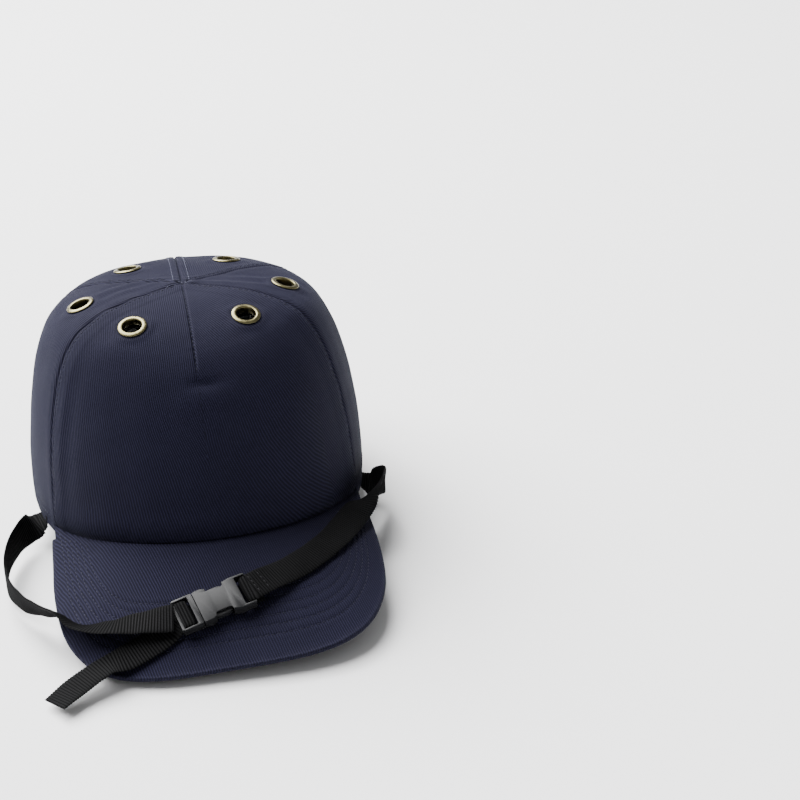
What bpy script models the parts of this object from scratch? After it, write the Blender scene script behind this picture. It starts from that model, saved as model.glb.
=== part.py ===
"""Bump cap: soft five-panel cap with a rigid inner shell, visor, rear strap and chin strap.

Frame: metres, +Z up, front (visor) towards -Y, wearer's left towards +X.
The origin is the centre of the head opening.  The cap sits tilted back by
CAP_TILT, the way it settles on a table on its rear rim and visor edge.
"""
import math

import bpy
import bmesh
import numpy as np
from mathutils import Matrix, Vector
from mathutils.bvhtree import BVHTree

MM = 0.001

# ------------------------------------------------------------------ driving dimensions (mm, degrees)
CAP_TILT = -5.7                  # lean of the rim plane about X

# crown
HALF_WIDTH = 92.0
HALF_LENGTH = 105.0
CROWN_HEIGHT = 119.0
PLAN_EXP = 1.94                  # superellipse exponent of the plan outline
SIDE_EXP, FRONT_EXP, BACK_EXP = 4.06, 2.46, 3.38     # profile exponents
APEX_SHIFT = -3.3                # the apex sits this far forward of the centre
WAIST_PULL = -0.036              # slight draw-in half way up
FABRIC = 1.2
SEAM_GAP = 0.3
SEAM_FRONT = 62.5                # seam between front and side panel, degrees from the front
SEAM_BACK = 113.0                # seam between side and back panel
TOP_STOP = 0.985                 # panels meet round a small point at the top

# rim arch over the visor
ARCH_RISE = 13.5
ARCH_SIDE = 3.9

# eyelets
EYELETS = (("front", 37.7, 0.749), ("side", 82.0, 0.763), ("rear", 138.8, 0.844))
EYELET_OD, EYELET_ID = 15.5, 10.0
FABRIC_HOLE_R = 5.95
SHELL_HOLE_R = 6.5

# inner shell
SHELL_DEPTH = 4.7                # outer face below the fabric's outer face
SHELL_WALL = 2.0
SHELL_EDGE = 12.0                # lower edge above the rim
SHELL_REAR_EDGE = 50.0
RIDGE_DEPTH = 3.6
RIDGE_HALF_WIDTH = 9.0
RIDGE_RX, RIDGE_RY, RIDGE_Y = 55.0, 56.0, -4.0

# foam pad: (distance from the centre, positive to the rear; half width)
PAD_THICK = 4.5
PAD_OUTLINE = ((88, 26), (80, 33), (68, 35), (50, 29), (36, 19), (26, 16.5), (12, 21), (-4, 27.5), (-14, 29.5),
               (-26, 28), (-38, 22), (-50, 17.5), (-64, 17), (-90, 16.5))

# sweatband
BAND_WIDTH = 29.0
BAND_THICK = 1.4
BAND_END = 148.0

# visor
VISOR_LENGTH = 67.8
VISOR_HALF_WIDTH = 84.6
VISOR_EXP = 3.7
VISOR_DROP = -22.8
VISOR_ROOT_Y = -56.6
VISOR_TAPER = 0.046
VISOR_TWIST = 4.5
VISOR_SKEW = -2.0
VISOR_JOIN = 64.0                # the visor is sewn on between plus and minus this angle
VISOR_THICK = 4.0
COVER = 0.8
LAYER_GAP = 0.3
CROWNING = 1.2

# rear opening and strap
OPEN_HALF = 33.0
OPEN_STRAIGHT = 14.0
OPEN_RISE = 32.0
STRAP_H = 20.0
STRAP_Z = 11.0
STRAP_T = 1.2
RING_X, RING_HALF = 23.5, 3.5
RING_R = 1.2

# chin strap and buckle
WEB_W, WEB_T = 16.0, 1.2
AXIS_Y, AXIS_Z = -24.0, 1.0
BUCKLE_AT = (-14.0, -143.0)      # mouth of the socket, plan position on the visor
BUCKLE_YAW = 17.0
SOCKET_L, BUCKLE_W, BUCKLE_T = 28.0, 19.0, 6.4
PLUG_FRAME = 11.5
PRONG_PIVOT = (0.9, 7.0)

# ------------------------------------------------------------------ scene and helpers
for o in list(bpy.data.objects):
    bpy.data.objects.remove(o, do_unlink=True)

scene = bpy.context.scene
parts = bpy.data.collections.new("bump_cap")
cutters = bpy.data.collections.new("cutters")
scene.collection.children.link(parts)
scene.collection.children.link(cutters)


def material(name, rgb, rough, metal=0.0):
    m = bpy.data.materials.new(name)
    m.use_nodes = True
    b = m.node_tree.nodes["Principled BSDF"]
    b.inputs["Base Color"].default_value = (*rgb, 1.0)
    b.inputs["Roughness"].default_value = rough
    b.inputs["Metallic"].default_value = metal
    m.diffuse_color = (*rgb, 1.0)
    return m


LOOKS = {
    "navy_twill": ((0.012, 0.018, 0.055), 0.85, 0.0),
    "black_abs": ((0.008, 0.008, 0.009), 0.18, 0.0),
    "black_foam": ((0.03, 0.03, 0.032), 0.9, 0.0),
    "black_band": ((0.02, 0.02, 0.022), 0.9, 0.0),
    "black_webbing": ((0.02, 0.02, 0.02), 0.8, 0.0),
    "buckle_plastic": ((0.03, 0.032, 0.035), 0.45, 0.0),
    "brass": ((0.62, 0.52, 0.3), 0.3, 1.0),
    "visor_board": ((0.05, 0.05, 0.05), 0.6, 0.0),
    "hook_loop": ((0.015, 0.018, 0.04), 0.95, 0.0),
}


def empty(name, loc=(0, 0, 0), rot=None, parent=None):
    e = bpy.data.objects.new(name, None)
    e.empty_display_size = 0.01
    parts.objects.link(e)
    if parent:
        e.parent = parent
    m = Matrix.Translation(Vector(loc) * MM)
    if rot is not None:
        m = m @ rot.to_4x4()
    e.matrix_local = m
    return e


cap = empty("cap_frame")
cap.rotation_euler = (math.radians(CAP_TILT), 0.0, 0.0)
bpy.context.view_layer.update()


def add(name, mesh, look, parent=None):
    ob = bpy.data.objects.new(name, mesh)
    parts.objects.link(ob)
    ob.parent = parent or cap
    rgb, rough, metal = LOOKS[look]
    mesh.materials.clear()
    mesh.materials.append(material(name + "_" + look, rgb, rough, metal))
    return ob


def cutter(ob):
    for c in list(ob.users_collection):
        c.objects.unlink(ob)
    cutters.objects.link(ob)
    ob.hide_render = True
    ob.display_type = "WIRE"
    return ob


def cut(ob, tool, operation="DIFFERENCE"):
    m = ob.modifiers.new(operation.lower(), "BOOLEAN")
    m.operation = operation
    m.solver = "EXACT"
    m.object = tool
    return m


def solidify(ob, t, offset=-1.0):
    m = ob.modifiers.new("thickness", "SOLIDIFY")
    m.thickness = t * MM
    m.offset = offset
    return m


def bevel(ob, w, segments=2, angle=40.0):
    m = ob.modifiers.new("edges", "BEVEL")
    m.width = w * MM
    m.segments = segments
    m.limit_method = "ANGLE"
    m.angle_limit = math.radians(angle)
    return m


def sheet(nu, nv, f, wrap=False, pole=False, origin=(0, 0, 0)):
    """A grid whose point (u, v), each 0..1, sits at f(u, v) in millimetres."""
    bm = bmesh.new()
    bmesh.ops.create_grid(bm, x_segments=nu, y_segments=nv, size=0.5)
    bm.verts.ensure_lookup_table()
    uv = np.array([(v.co.x + 0.5, v.co.y + 0.5) for v in bm.verts])
    P = f(uv[:, 0], uv[:, 1]) - np.array(origin, float)
    for v, p in zip(bm.verts, P):
        v.co = Vector(p) * MM
    if wrap or pole:
        bmesh.ops.remove_doubles(bm, verts=bm.verts, dist=0.00002)
    me = bpy.data.meshes.new("sheet")
    bm.to_mesh(me)
    bm.free()
    return me


def loft(rings):
    """Closed body through rings of equal point count, capped at both ends."""
    bm = bmesh.new()
    loops = [[bm.verts.new(Vector(p) * MM) for p in ring] for ring in rings]
    n = len(loops[0])
    for a, b in zip(loops, loops[1:]):
        for i in range(n):
            bm.faces.new((a[i], a[(i + 1) % n], b[(i + 1) % n], b[i]))
    bm.faces.new(loops[0][::-1])
    bm.faces.new(loops[-1])
    bmesh.ops.recalc_face_normals(bm, faces=bm.faces)
    me = bpy.data.meshes.new("loft")
    bm.to_mesh(me)
    bm.free()
    return me


def smooth(ob, angle=35.0):
    ob.data.shade_smooth()
    ob.data.set_sharp_from_angle(angle=math.radians(angle))
    return ob


def box_mesh(lo, hi):
    lo, hi = np.array(lo, float), np.array(hi, float)
    bm = bmesh.new()
    bmesh.ops.create_cube(bm, size=1.0)
    for v in bm.verts:
        v.co = Vector((lo + hi) / 2 + np.array(v.co) * (hi - lo)) * MM
    me = bpy.data.meshes.new("box")
    bm.to_mesh(me)
    bm.free()
    return me


def box_cutter(name, lo, hi, parent=None):
    ob = bpy.data.objects.new(name, box_mesh(lo, hi))
    parts.objects.link(ob)
    ob.parent = parent or cap
    return cutter(ob)


def join_union(ob, others):
    for o in others:
        cut(ob, o, "UNION")


# ------------------------------------------------------------------ crown surface
def unit(v):
    return v / np.maximum(np.linalg.norm(v, axis=-1, keepdims=True), 1e-12)


def profile_exp(phi):
    c = np.cos(phi)
    return SIDE_EXP + (FRONT_EXP - SIDE_EXP) * np.clip(c, 0, 1) ** 2 + (BACK_EXP - SIDE_EXP) * np.clip(-c, 0, 1) ** 2


def crown_raw(phi, v):
    n = profile_exp(phi)
    al = np.clip(v, 0, 1) * math.pi / 2
    c, s = np.cos(al), np.sin(al)
    r = (c ** n + s ** n) ** (-1 / n)
    rho, zeta = np.clip(r * c, 0, 1), r * s
    t = np.arccos(np.clip(rho ** (n / 2), 0, 1)) * 2 / math.pi
    pull = 1 + WAIST_PULL * np.sin(math.pi * np.clip(t * 1.6, 0, 1))
    cp, sp = np.cos(phi), np.sin(phi)
    ux = np.sign(sp) * np.abs(sp) ** (2 / PLAN_EXP)
    uy = -np.sign(cp) * np.abs(cp) ** (2 / PLAN_EXP)
    return np.stack([rho * HALF_WIDTH * ux * pull, APEX_SHIFT * (1 - rho) + rho * HALF_LENGTH * uy * pull,
                     CROWN_HEIGHT * zeta], -1)


def crown_normal(phi, v):
    e = 2e-3
    vv = np.clip(v, e, 0.97)
    du = crown_raw(phi + e, vv) - crown_raw(phi - e, vv)
    dv = crown_raw(phi, vv + e) - crown_raw(phi, vv - e)
    n = unit(np.cross(du, dv))
    k = np.clip((v - 0.9) / 0.1, 0, 1)[..., None]
    return unit(n * (1 - k) + np.array([0, 0, 1.0]) * k)


def crown(phi, v, depth=0.0):
    depth = np.asarray(depth, float)
    return crown_raw(phi, v) - crown_normal(phi, v) * (depth[..., None] if depth.ndim else depth)


def v_of_z(phi, z):
    n = profile_exp(phi)
    ze = np.clip(z / CROWN_HEIGHT, -0.2, 0.999)
    rho = (1 - np.abs(ze) ** n) ** (1 / n)
    return np.arctan2(ze, rho) * 2 / math.pi


def v_of_t(phi, t):
    n = profile_exp(phi)
    rho = np.cos(math.pi * t / 2) ** (2 / n)
    ze = np.sin(math.pi * t / 2) ** (2 / n)
    return np.arctan2(ze, rho) * 2 / math.pi


def rim(phi):
    """Height of the visor's seam."""
    c = np.clip(np.cos(phi), 0, 1)
    return ARCH_RISE * c ** 2 + ARCH_SIDE * np.sin(phi) ** 2 * c


def hem(phi):
    """Lower edge of the fabric."""
    return np.clip(rim(phi) - VISOR_THICK - 0.3, 0, None)


def back_point(x, z, depth):
    """Point of the rear wall at a given x and height."""
    x, z, depth = np.broadcast_arrays(np.asarray(x, float), np.asarray(z, float), np.asarray(depth, float))
    phi = np.full(x.shape, math.pi)
    for _ in range(4):
        v = v_of_z(phi, z)
        half = np.abs(crown_raw(phi * 0 + math.pi / 2, v)[..., 0])
        s = np.clip(np.abs(x) / half, 0, 0.999) ** (PLAN_EXP / 2)
        phi = math.pi - np.arcsin(s) * np.sign(x)
    return crown(phi, v_of_z(phi, z), depth)


# ------------------------------------------------------------------ crown panels
def panel(name, p0, p1, nu):
    a0, a1 = math.radians(p0), math.radians(p1)

    def f(u, k):
        base = a0 + (a1 - a0) * u
        v = v_of_z(base, hem(base)) * (1 - k) + TOP_STOP * k
        r = np.linalg.norm(crown_raw(base, v)[..., :2] - np.array([0, APEX_SHIFT]), axis=-1)
        g = 0.5 * SEAM_GAP / np.maximum(r, 1.0)
        phi = a0 + g + (a1 - a0 - 2 * g) * u
        return crown(phi, v)

    ob = add(name, sheet(nu, 12, f), "navy_twill")
    solidify(ob, FABRIC)
    return ob


panels = {
    "front_panel": panel("front_panel", -SEAM_FRONT, SEAM_FRONT, 18),
    "side_panel_left": panel("side_panel_left", SEAM_FRONT, SEAM_BACK, 7),
    "side_panel_right": panel("side_panel_right", -SEAM_BACK, -SEAM_FRONT, 7),
    "back_panel_left": panel("back_panel_left", SEAM_BACK, 180.0, 10),
    "back_panel_right": panel("back_panel_right", -180.0, -SEAM_BACK, 10),
}


# rear opening: straight sides below, elliptical arch above
def opening_cutter():
    bm = bmesh.new()
    bmesh.ops.create_cone(bm, cap_ends=True, segments=40, radius1=1.0, radius2=1.0, depth=1.0)
    for v in bm.verts:
        x, y, z = v.co
        v.co = Vector((x * OPEN_HALF, 100 + z * 60, OPEN_STRAIGHT + y * OPEN_RISE)) * MM
    bmesh.ops.recalc_face_normals(bm, faces=bm.faces)
    me = bpy.data.meshes.new("arch")
    bm.to_mesh(me)
    bm.free()
    ob = bpy.data.objects.new("opening_arch_cutter", me)
    parts.objects.link(ob)
    ob.parent = cap
    return cutter(ob)


arch_tool = opening_cutter()
slot_tool = box_cutter("opening_slot_cutter", (-OPEN_HALF, 70, -10), (OPEN_HALF, 130, OPEN_STRAIGHT))
for side in ("left", "right"):
    cut(panels["back_panel_" + side], arch_tool)
    cut(panels["back_panel_" + side], slot_tool)


# ------------------------------------------------------------------ inner shell
def ridge(P):
    q = np.sqrt((P[..., 0] / RIDGE_RX) ** 2 + ((P[..., 1] - RIDGE_Y) / RIDGE_RY) ** 2)
    k = np.clip((q - 1.02) * RIDGE_RX / RIDGE_HALF_WIDTH, -1, 1)
    return RIDGE_DEPTH * np.cos(k * math.pi / 2) ** 2


def shell_edge(phi):
    a = np.degrees(np.abs((phi + math.pi) % (2 * math.pi) - math.pi))
    k = np.clip((a - 118) / 34, 0, 1)
    k = k * k * (3 - 2 * k)
    return (hem(phi) + SHELL_EDGE) * (1 - k) + SHELL_REAR_EDGE * k


def shell_face(phi, v, extra=0.0):
    return crown(phi, v, SHELL_DEPTH + extra + ridge(crown_raw(phi, v)))


def shell_fn(extra):
    def f(u, k):
        phi = (u * 2 - 1) * math.pi
        v0 = v_of_z(phi, shell_edge(phi))
        kk = k + 0.10 * np.sin(2 * math.pi * k) * 0.0
        v = v0 * (1 - kk) + 1.0 * kk
        P = shell_face(phi, v, extra)
        top = np.asarray(k) > 0.9999
        P[top] = (0, APEX_SHIFT, CROWN_HEIGHT - SHELL_DEPTH - extra)
        return P
    return f


shell = add("inner_shell", sheet(40, 13, shell_fn(0.0), wrap=True, pole=True), "black_abs")
solidify(shell, SHELL_WALL)

# ------------------------------------------------------------------ eyelets, washers and their holes
def screw_ring(name, outline, look, parent):
    me = bpy.data.meshes.new(name)
    bm = bmesh.new()
    vs = [bm.verts.new((r * MM, 0.0, z * MM)) for r, z in outline]
    for a, b in zip(vs, vs[1:] + vs[:1]):
        bm.edges.new((a, b))
    bm.to_mesh(me)
    bm.free()
    ob = add(name, me, look, parent)
    m = ob.modifiers.new("turn", "SCREW")
    m.axis = "Z"
    m.angle = 2 * math.pi
    m.steps = m.render_steps = 18
    m.use_merge_vertices = True
    m.merge_threshold = 0.00001
    m.use_smooth_shade = True
    return ob


ro, ri = EYELET_OD / 2, EYELET_ID / 2
EYELET_OUTLINE = ((ro, 0.45), (ro - 0.15, 0.16), (ri + 0.6, 0.1), (ri + 0.6, -3.1), (ri + 1.6, -3.2), (ri + 1.6, -3.65), (ri, -3.5),
                  (ri, 0.7), (ri + 0.9, 1.15), (ro - 0.55, 0.9))
WASHER_OUTLINE = ((ro, -2.35), (ro, -2.85), (ri + 0.9, -2.9), (ri + 0.9, -2.3))


def drill(name, radius, matrix, low, high):
    bm = bmesh.new()
    bmesh.ops.create_cone(bm, cap_ends=True, segments=28, radius1=radius * MM, radius2=radius * MM, depth=(high - low) * MM)
    bmesh.ops.translate(bm, verts=bm.verts, vec=(0, 0, (high + low) / 2 * MM))
    me = bpy.data.meshes.new(name)
    bm.to_mesh(me)
    bm.free()
    ob = bpy.data.objects.new(name, me)
    parts.objects.link(ob)
    ob.parent = cap
    ob.matrix_local = matrix
    return cutter(ob)


for where, deg, t in EYELETS:
    for side, sign in (("left", 1), ("right", -1)):
        phi = np.array(math.radians(deg) * sign)
        v = v_of_t(phi, t)
        p, n = crown_raw(phi, v), crown_normal(phi, v)
        z = Vector(n)
        y = z.cross(Vector((0, 1, 0))).cross(z).normalized()
        x = y.cross(z)
        mat = Matrix.Translation(Vector(p) * MM) @ Matrix((x, y, z)).transposed().to_4x4()
        seat = empty("seat_%s_%s" % (where, side), parent=cap)
        seat.matrix_local = mat
        screw_ring("eyelet_%s_%s" % (where, side), EYELET_OUTLINE, "brass", seat)
        screw_ring("washer_%s_%s" % (where, side), WASHER_OUTLINE, "brass", seat)
        pname = {"front": "front_panel", "side": "side_panel_" + side, "rear": "back_panel_" + side}[where]
        cut(panels[pname], drill("fabric_drill_%s_%s" % (where, side), FABRIC_HOLE_R, mat, -4, 4))
        cut(shell, drill("shell_drill_%s_%s" % (where, side), SHELL_HOLE_R, mat, -16, -3))

# ------------------------------------------------------------------ foam pad
guide = bmesh.new()
guide.from_mesh(sheet(96, 40, shell_fn(SHELL_WALL + 1.6), wrap=True, pole=True))
tree = BVHTree.FromBMesh(guide)
guide.free()
stations = np.array(PAD_OUTLINE, float)[::-1]


def pad_fn(u, k):
    out = np.zeros((len(u), 3))
    for i, (uu, kk) in enumerate(zip(u, k)):
        th = math.radians(148.0 + (24.0 - 148.0) * kk)
        d = Vector((0, math.cos(th), math.sin(th)))
        o = Vector((0, -4.0, 18.0)) * MM
        hit = tree.ray_cast(o, d)[0]
        y = hit.y / MM + 4.0
        half = np.interp(y, stations[:, 0], stations[:, 1])
        if kk > 0.97:
            half -= 4.0
        if kk < 0.03:
            half -= 3.0
        o.x = (uu * 2 - 1) * half * MM
        hit = tree.ray_cast(o, d)[0]
        out[i] = np.array(hit) / MM
    return out


pad = add("foam_pad", sheet(8, 26, pad_fn), "black_foam")
solidify(pad, PAD_THICK)


# ------------------------------------------------------------------ sweatband
def band_fn(u, k):
    phi = math.radians(BAND_END) * (u * 2 - 1)
    h = 0.4 + k * BAND_WIDTH
    z = hem(phi) + h
    inner = SHELL_DEPTH + SHELL_WALL + 0.7
    d = np.interp(h, (0, 1.5, 10.5, 14, 40), (FABRIC + 0.4, FABRIC + 0.5, inner, inner + 0.1, inner + 0.2))
    return crown(phi, v_of_z(phi, z), d)


band = add("sweatband", sheet(36, 6, band_fn), "black_band")
solidify(band, BAND_THICK)


# ------------------------------------------------------------------ visor
def visor_join(b):
    phi = b / (math.pi / 2) * math.radians(VISOR_JOIN)
    z = rim(phi)
    v = v_of_z(phi, z)
    n = crown_normal(phi, v) * np.array([1, 1, 0])
    P = crown_raw(phi, v)
    P = P + unit(n) * 0.45
    P[..., 2] = z
    return P


def visor_edge(b):
    s, c = np.sin(b), np.cos(b)
    r = (np.abs(s) ** VISOR_EXP + np.abs(c) ** VISOR_EXP) ** (-1 / VISOR_EXP)
    ux, uy = r * s, np.abs(r * c)
    reach = HALF_LENGTH + VISOR_LENGTH + VISOR_ROOT_Y
    x = VISOR_HALF_WIDTH * ux * (1 + VISOR_TAPER * uy)
    y = VISOR_ROOT_Y - reach * uy + VISOR_SKEW * x / 85
    z = VISOR_DROP * uy + 1.6 * 4 * uy * (1 - uy) + VISOR_TWIST * x / 85 * np.clip((-y - 30) / 140, 0, 1)
    return np.stack([x, y, z], -1)


def visor_outward(b):
    e = 1e-3
    lim = math.pi / 2 - 2e-3
    bb = np.clip(b, -lim, lim)
    d = visor_edge(bb + e) - visor_edge(bb - e)
    n = np.stack([d[..., 1], -d[..., 0], 0 * d[..., 0]], -1)
    return unit(n) * np.sign(n[..., :1] * np.sin(bb)[..., None] + n[..., 1:2] * -np.cos(bb)[..., None] + 1e-9)


def visor(b, w, inset=2.0, h=0.0, root=0.0):
    """Point of the visor: w 0 at the crown, 1 at the outer edge; h below (negative) the top face."""
    A = visor_join(b)
    B = visor_edge(b) - visor_outward(b) * np.asarray(inset)[..., None]
    B[..., 2] += VISOR_THICK / 2
    w = np.asarray(w)[..., None]
    w = w + (1 - w) * root / np.linalg.norm(B - A, axis=-1, keepdims=True)
    P = A * (1 - w) + B * w
    P = P + np.array([0, 0, 1.0]) * CROWNING * 4 * w * (1 - w) * (np.cos(b)[..., None] ** 2)
    tilt = unit(B - A)
    side = unit(np.cross(tilt, np.array([0, 0, 1.0])))
    nrm = unit(np.cross(side, tilt))
    return P + nrm * np.asarray(h)[..., None]


HALF_PI = math.pi / 2


def spread(u):
    return (u * 2 - 1) * HALF_PI


def top_cover_fn(u, k):
    b = spread(u)
    w = np.clip(k / 0.7, 0, 1)
    q = np.clip((k - 0.7) / 0.3, 0, 1) * math.pi
    r = VISOR_THICK / 2
    inset = 2.0 - r * np.sin(q)
    h = -r + r * np.cos(q)
    inset = np.where(k > 0.97, 1.2, inset)
    return visor(b, w, inset, h, 0.5)


top_cover = add("visor_top_cover", sheet(24, 10, top_cover_fn), "navy_twill")
# outward normals point up on the visor
top_cover.data.flip_normals()
solidify(top_cover, COVER)


# the visor's top face as a guide, for laying the inner plates, the strap and the buckle
g = bmesh.new()
g.from_mesh(sheet(96, 24, lambda u, k: visor(spread(u), k)))
visor_tree = BVHTree.FromBMesh(g)
g.free()


def on_visor(x, y, h=0.0):
    hit = visor_tree.ray_cast(Vector((x, y, 200.0)) * MM, Vector((0, 0, -1)))
    if hit[0] is None:
        near = visor_tree.find_nearest(Vector((x, y, -15.0)) * MM)
        return np.array((x, y, near[0].z / MM + h))
    return np.array(hit[0]) / MM + np.array(hit[1]) * h * (1 if hit[1].z > 0 else -1)


def plate_fn(inset, h, root=0.0):
    def f(u, k):
        P = visor(spread(u) * 0.97, k, np.full(u.shape, inset), 0.0 * u, root)
        return np.array([on_visor(p[0], p[1], h) for p in P])
    return f


board = add("visor_board", sheet(24, 5, plate_fn(3.4, -COVER - LAYER_GAP, 3.4)), "visor_board")
board.data.flip_normals()
solidify(board, VISOR_THICK - 2 * COVER - 2 * LAYER_GAP)
under = add("visor_under_cover", sheet(24, 5, plate_fn(2.6, -VISOR_THICK + COVER, 4.4)), "navy_twill")
under.data.flip_normals()
solidify(under, COVER)

def lay(x, y, h, w):
    """Point h above the visor's top face, and the width vector w laid parallel to it."""
    a, b, c = on_visor(x, y), on_visor(x - 4, y), on_visor(x, y + 4)
    n = unit(np.cross(a - b, c - a))
    w = np.array(w, float)
    return a + n * h, unit(w - n * (w @ n))


# ------------------------------------------------------------------ ribbons
def smooth_path(P, W, n):
    """Catmull-Rom through the points, evenly spaced, with width vectors square to the path."""
    P, W = np.array(P, float), unit(np.array(W, float))
    ext = np.vstack([2 * P[0] - P[1], P, 2 * P[-1] - P[-2]])
    pts, ws = [], []
    for i in range(len(P) - 1):
        p0, p1, p2, p3 = ext[i:i + 4]
        for s in np.linspace(0, 1, 24, endpoint=False):
            pts.append(0.5 * (2 * p1 + (p2 - p0) * s + (2 * p0 - 5 * p1 + 4 * p2 - p3) * s * s + (3 * p1 - p0 - 3 * p2 + p3) * s ** 3))
            k = s * s * (3 - 2 * s)
            ws.append(W[i] * (1 - k) + W[i + 1] * k)
    pts.append(P[-1])
    ws.append(W[-1])
    pts, ws = np.array(pts), np.array(ws)
    L = np.r_[0, np.cumsum(np.linalg.norm(np.diff(pts, axis=0), axis=1))]
    at = np.linspace(0, L[-1], n)
    Q = np.stack([np.interp(at, L, pts[:, i]) for i in range(3)], -1)
    V = np.stack([np.interp(at, L, ws[:, i]) for i in range(3)], -1)
    T = unit(np.gradient(Q, axis=0))
    V = unit(V - T * (V * T).sum(-1, keepdims=True))
    return Q, V


def ribbon(name, Q, V, width, thick, look, parent=None, across=2, origin=(0, 0, 0)):
    n = len(Q)

    def f(u, k):
        i = np.rint(k * (n - 1)).astype(int)
        return Q[i] + V[i] * ((u - 0.5) * width)[:, None]

    ob = add(name, sheet(across, n - 1, f, origin=origin), look, parent)
    solidify(ob, thick, 0.0)
    return ob


def resample(Q, V, n):
    L = np.r_[0, np.cumsum(np.linalg.norm(np.diff(Q, axis=0), axis=1))]
    at = np.linspace(0, L[-1], n)
    return (np.stack([np.interp(at, L, Q[:, i]) for i in range(3)], -1),
            unit(np.stack([np.interp(at, L, V[:, i]) for i in range(3)], -1)))


# ------------------------------------------------------------------ buckle frame
yaw = math.radians(BUCKLE_YAW)
foot = np.array([on_visor(BUCKLE_AT[0] + a * math.cos(yaw) - c * math.sin(yaw), BUCKLE_AT[1] + a * math.sin(yaw) + c * math.cos(yaw))
                 for a in (-11.5, 0, 9, 18, 28) for c in (-9.5, 0, 9.5)])
centre = foot.mean(0)
_, _, vt = np.linalg.svd(foot - centre)
bn = vt[2] * np.sign(vt[2][2])
bu = unit(np.array([math.cos(yaw), math.sin(yaw), 0]) - bn * (np.array([math.cos(yaw), math.sin(yaw), 0]) @ bn))
bv = np.cross(bn, bu)
lift = ((foot - centre) @ bn).max()
mouth = on_visor(*BUCKLE_AT)
mouth = mouth + bn * (lift - (mouth - centre) @ bn + BUCKLE_T / 2 + 0.6)
buckle_rot = Matrix((Vector(bu), Vector(bv), Vector(bn))).transposed()


def in_buckle(x, y, z):
    return mouth + bu * x + bv * y + bn * z


swing = empty("chin_strap_axis", (0, AXIS_Y, AXIS_Z), parent=cap)
buckle = empty("buckle_axis", mouth - np.array([0, AXIS_Y, AXIS_Z]), buckle_rot, parent=swing)
swing_o = (0, AXIS_Y, AXIS_Z)


def lathe_box(name, lo, hi, look, parent, round_w=0.8, seg=2):
    ob = add(name, box_mesh(lo, hi), look, parent)
    if round_w:
        bevel(ob, round_w, seg)
    return ob


# socket: open mouth, two side windows, a bar for the webbing
bw, bt = BUCKLE_W / 2, BUCKLE_T / 2
socket = lathe_box("buckle_socket", (0, -bw, -bt), (SOCKET_L, bw, bt), "buckle_plastic", buckle, 1.1, 3)
cut(socket, box_cutter("socket_channel", (-2, -8.6, -1.9), (17.6, 8.6, 1.9), buckle))
cut(socket, box_cutter("socket_window_left", (6.5, 6.2, -4.2), (15.8, 12, 4.2), buckle))
cut(socket, box_cutter("socket_window_right", (6.5, -12, -4.2), (15.8, -6.2, 4.2), buckle))
cut(socket, box_cutter("socket_slot", (22.2, -8.6, -4.2), (25.6, 8.6, 4.2), buckle))
cut(socket, box_cutter("socket_bar_top", (24.0, -8.4, 1.2), (30.0, 8.6, 4.2), buckle))
cut(socket, box_cutter("socket_bar_under", (24.0, -8.6, -4.2), (30.0, 8.4, -1.2), buckle))

# plug: webbing frame, centre guide
plug = lathe_box("buckle_plug", (-PLUG_FRAME, -bw, -2.7), (-0.35, bw, 2.7), "buckle_plastic", buckle, 0.7, 2)
cut(plug, box_cutter("plug_slot_front", (-6.0, -8.6, -4), (-3.0, 8.6, 4), buckle))
cut(plug, box_cutter("plug_slot_rear", (-10.0, -8.6, -4), (-8.0, 8.6, 4), buckle))
cut(plug, box_cutter("plug_clear_top", (-14, -8.4, 0.8), (-5.9, 8.6, 4), buckle))
cut(plug, box_cutter("plug_clear_under", (-14, -8.6, -4), (-5.9, 8.4, -0.8), buckle))
rail = box_cutter("plug_guide", (-1.5, -1.7, -1.4), (16.2, 1.7, 1.4), buckle)
cut(plug, rail, "UNION")

# prongs: spring arms pressed in from the sides
for side, s in (("left", 1), ("right", -1)):
    px, py = PRONG_PIVOT
    axis = empty("prong_axis_" + side, (px, py * s, 0), parent=buckle)
    outline = [(0.05, 5.9), (9.0, 6.1), (9.6, 4.9), (14.2, 4.4), (15.4, 5.6), (15.5, 7.2), (13.5, 8.3), (8.0, 8.3), (6.8, 7.9), (0.05, 8.1)]
    bm = bmesh.new()
    lo = [bm.verts.new(Vector((x - px, (y - py) * s, -1.5)) * MM) for x, y in outline]
    hi = [bm.verts.new(Vector((x - px, (y - py) * s, 1.5)) * MM) for x, y in outline]
    for i in range(len(outline)):
        j = (i + 1) % len(outline)
        bm.faces.new((lo[i], lo[j], hi[j], hi[i]))
    bm.faces.new(lo[::-1])
    bm.faces.new(hi)
    bmesh.ops.recalc_face_normals(bm, faces=bm.faces)
    me = bpy.data.meshes.new("prong")
    bm.to_mesh(me)
    bm.free()
    ob = add("prong_" + side, me, "buckle_plastic", axis)
    bevel(ob, 0.25, 1)

# ------------------------------------------------------------------ chin strap webbing
# wearer's left: from the rim, out round the visor's corner, over the visor to the socket's bar
turn = [in_buckle(26.2 - 2.1 * math.sin(a), 0, 2.1 * math.cos(a)) for a in np.linspace(0, math.pi, 9)]
P = [(90.4, AXIS_Y, -2.6), (92.9, -24.5, -3.8), (97.2, -27.5, -1.2), (99.6, -35, 2.6), (96.5, -48, 6.8), (88.5, -63, 10.2)]
W = [(0.12, 0.92, 0.33), (0.1, 0.9, 0.4), (0, 0.6, 0.8), (0.05, 0.3, 0.95), (0.35, 0.25, 0.9), (0.75, 0.1, 0.65)]
for x, y, h, w in ((74.0, -82.0, 4.2, (0.85, -0.45, 0)), (60.5, -103.0, 2.3, (0.72, -0.68, 0)), (45.0, -118.5, 2.3, (0.5, -0.82, 0)),
                   (31.5, -127.5, 3.4, (0.38, -0.86, 0))):
    p, w = lay(x, y, h, w)
    P.append(p)
    W.append(w)
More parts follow.
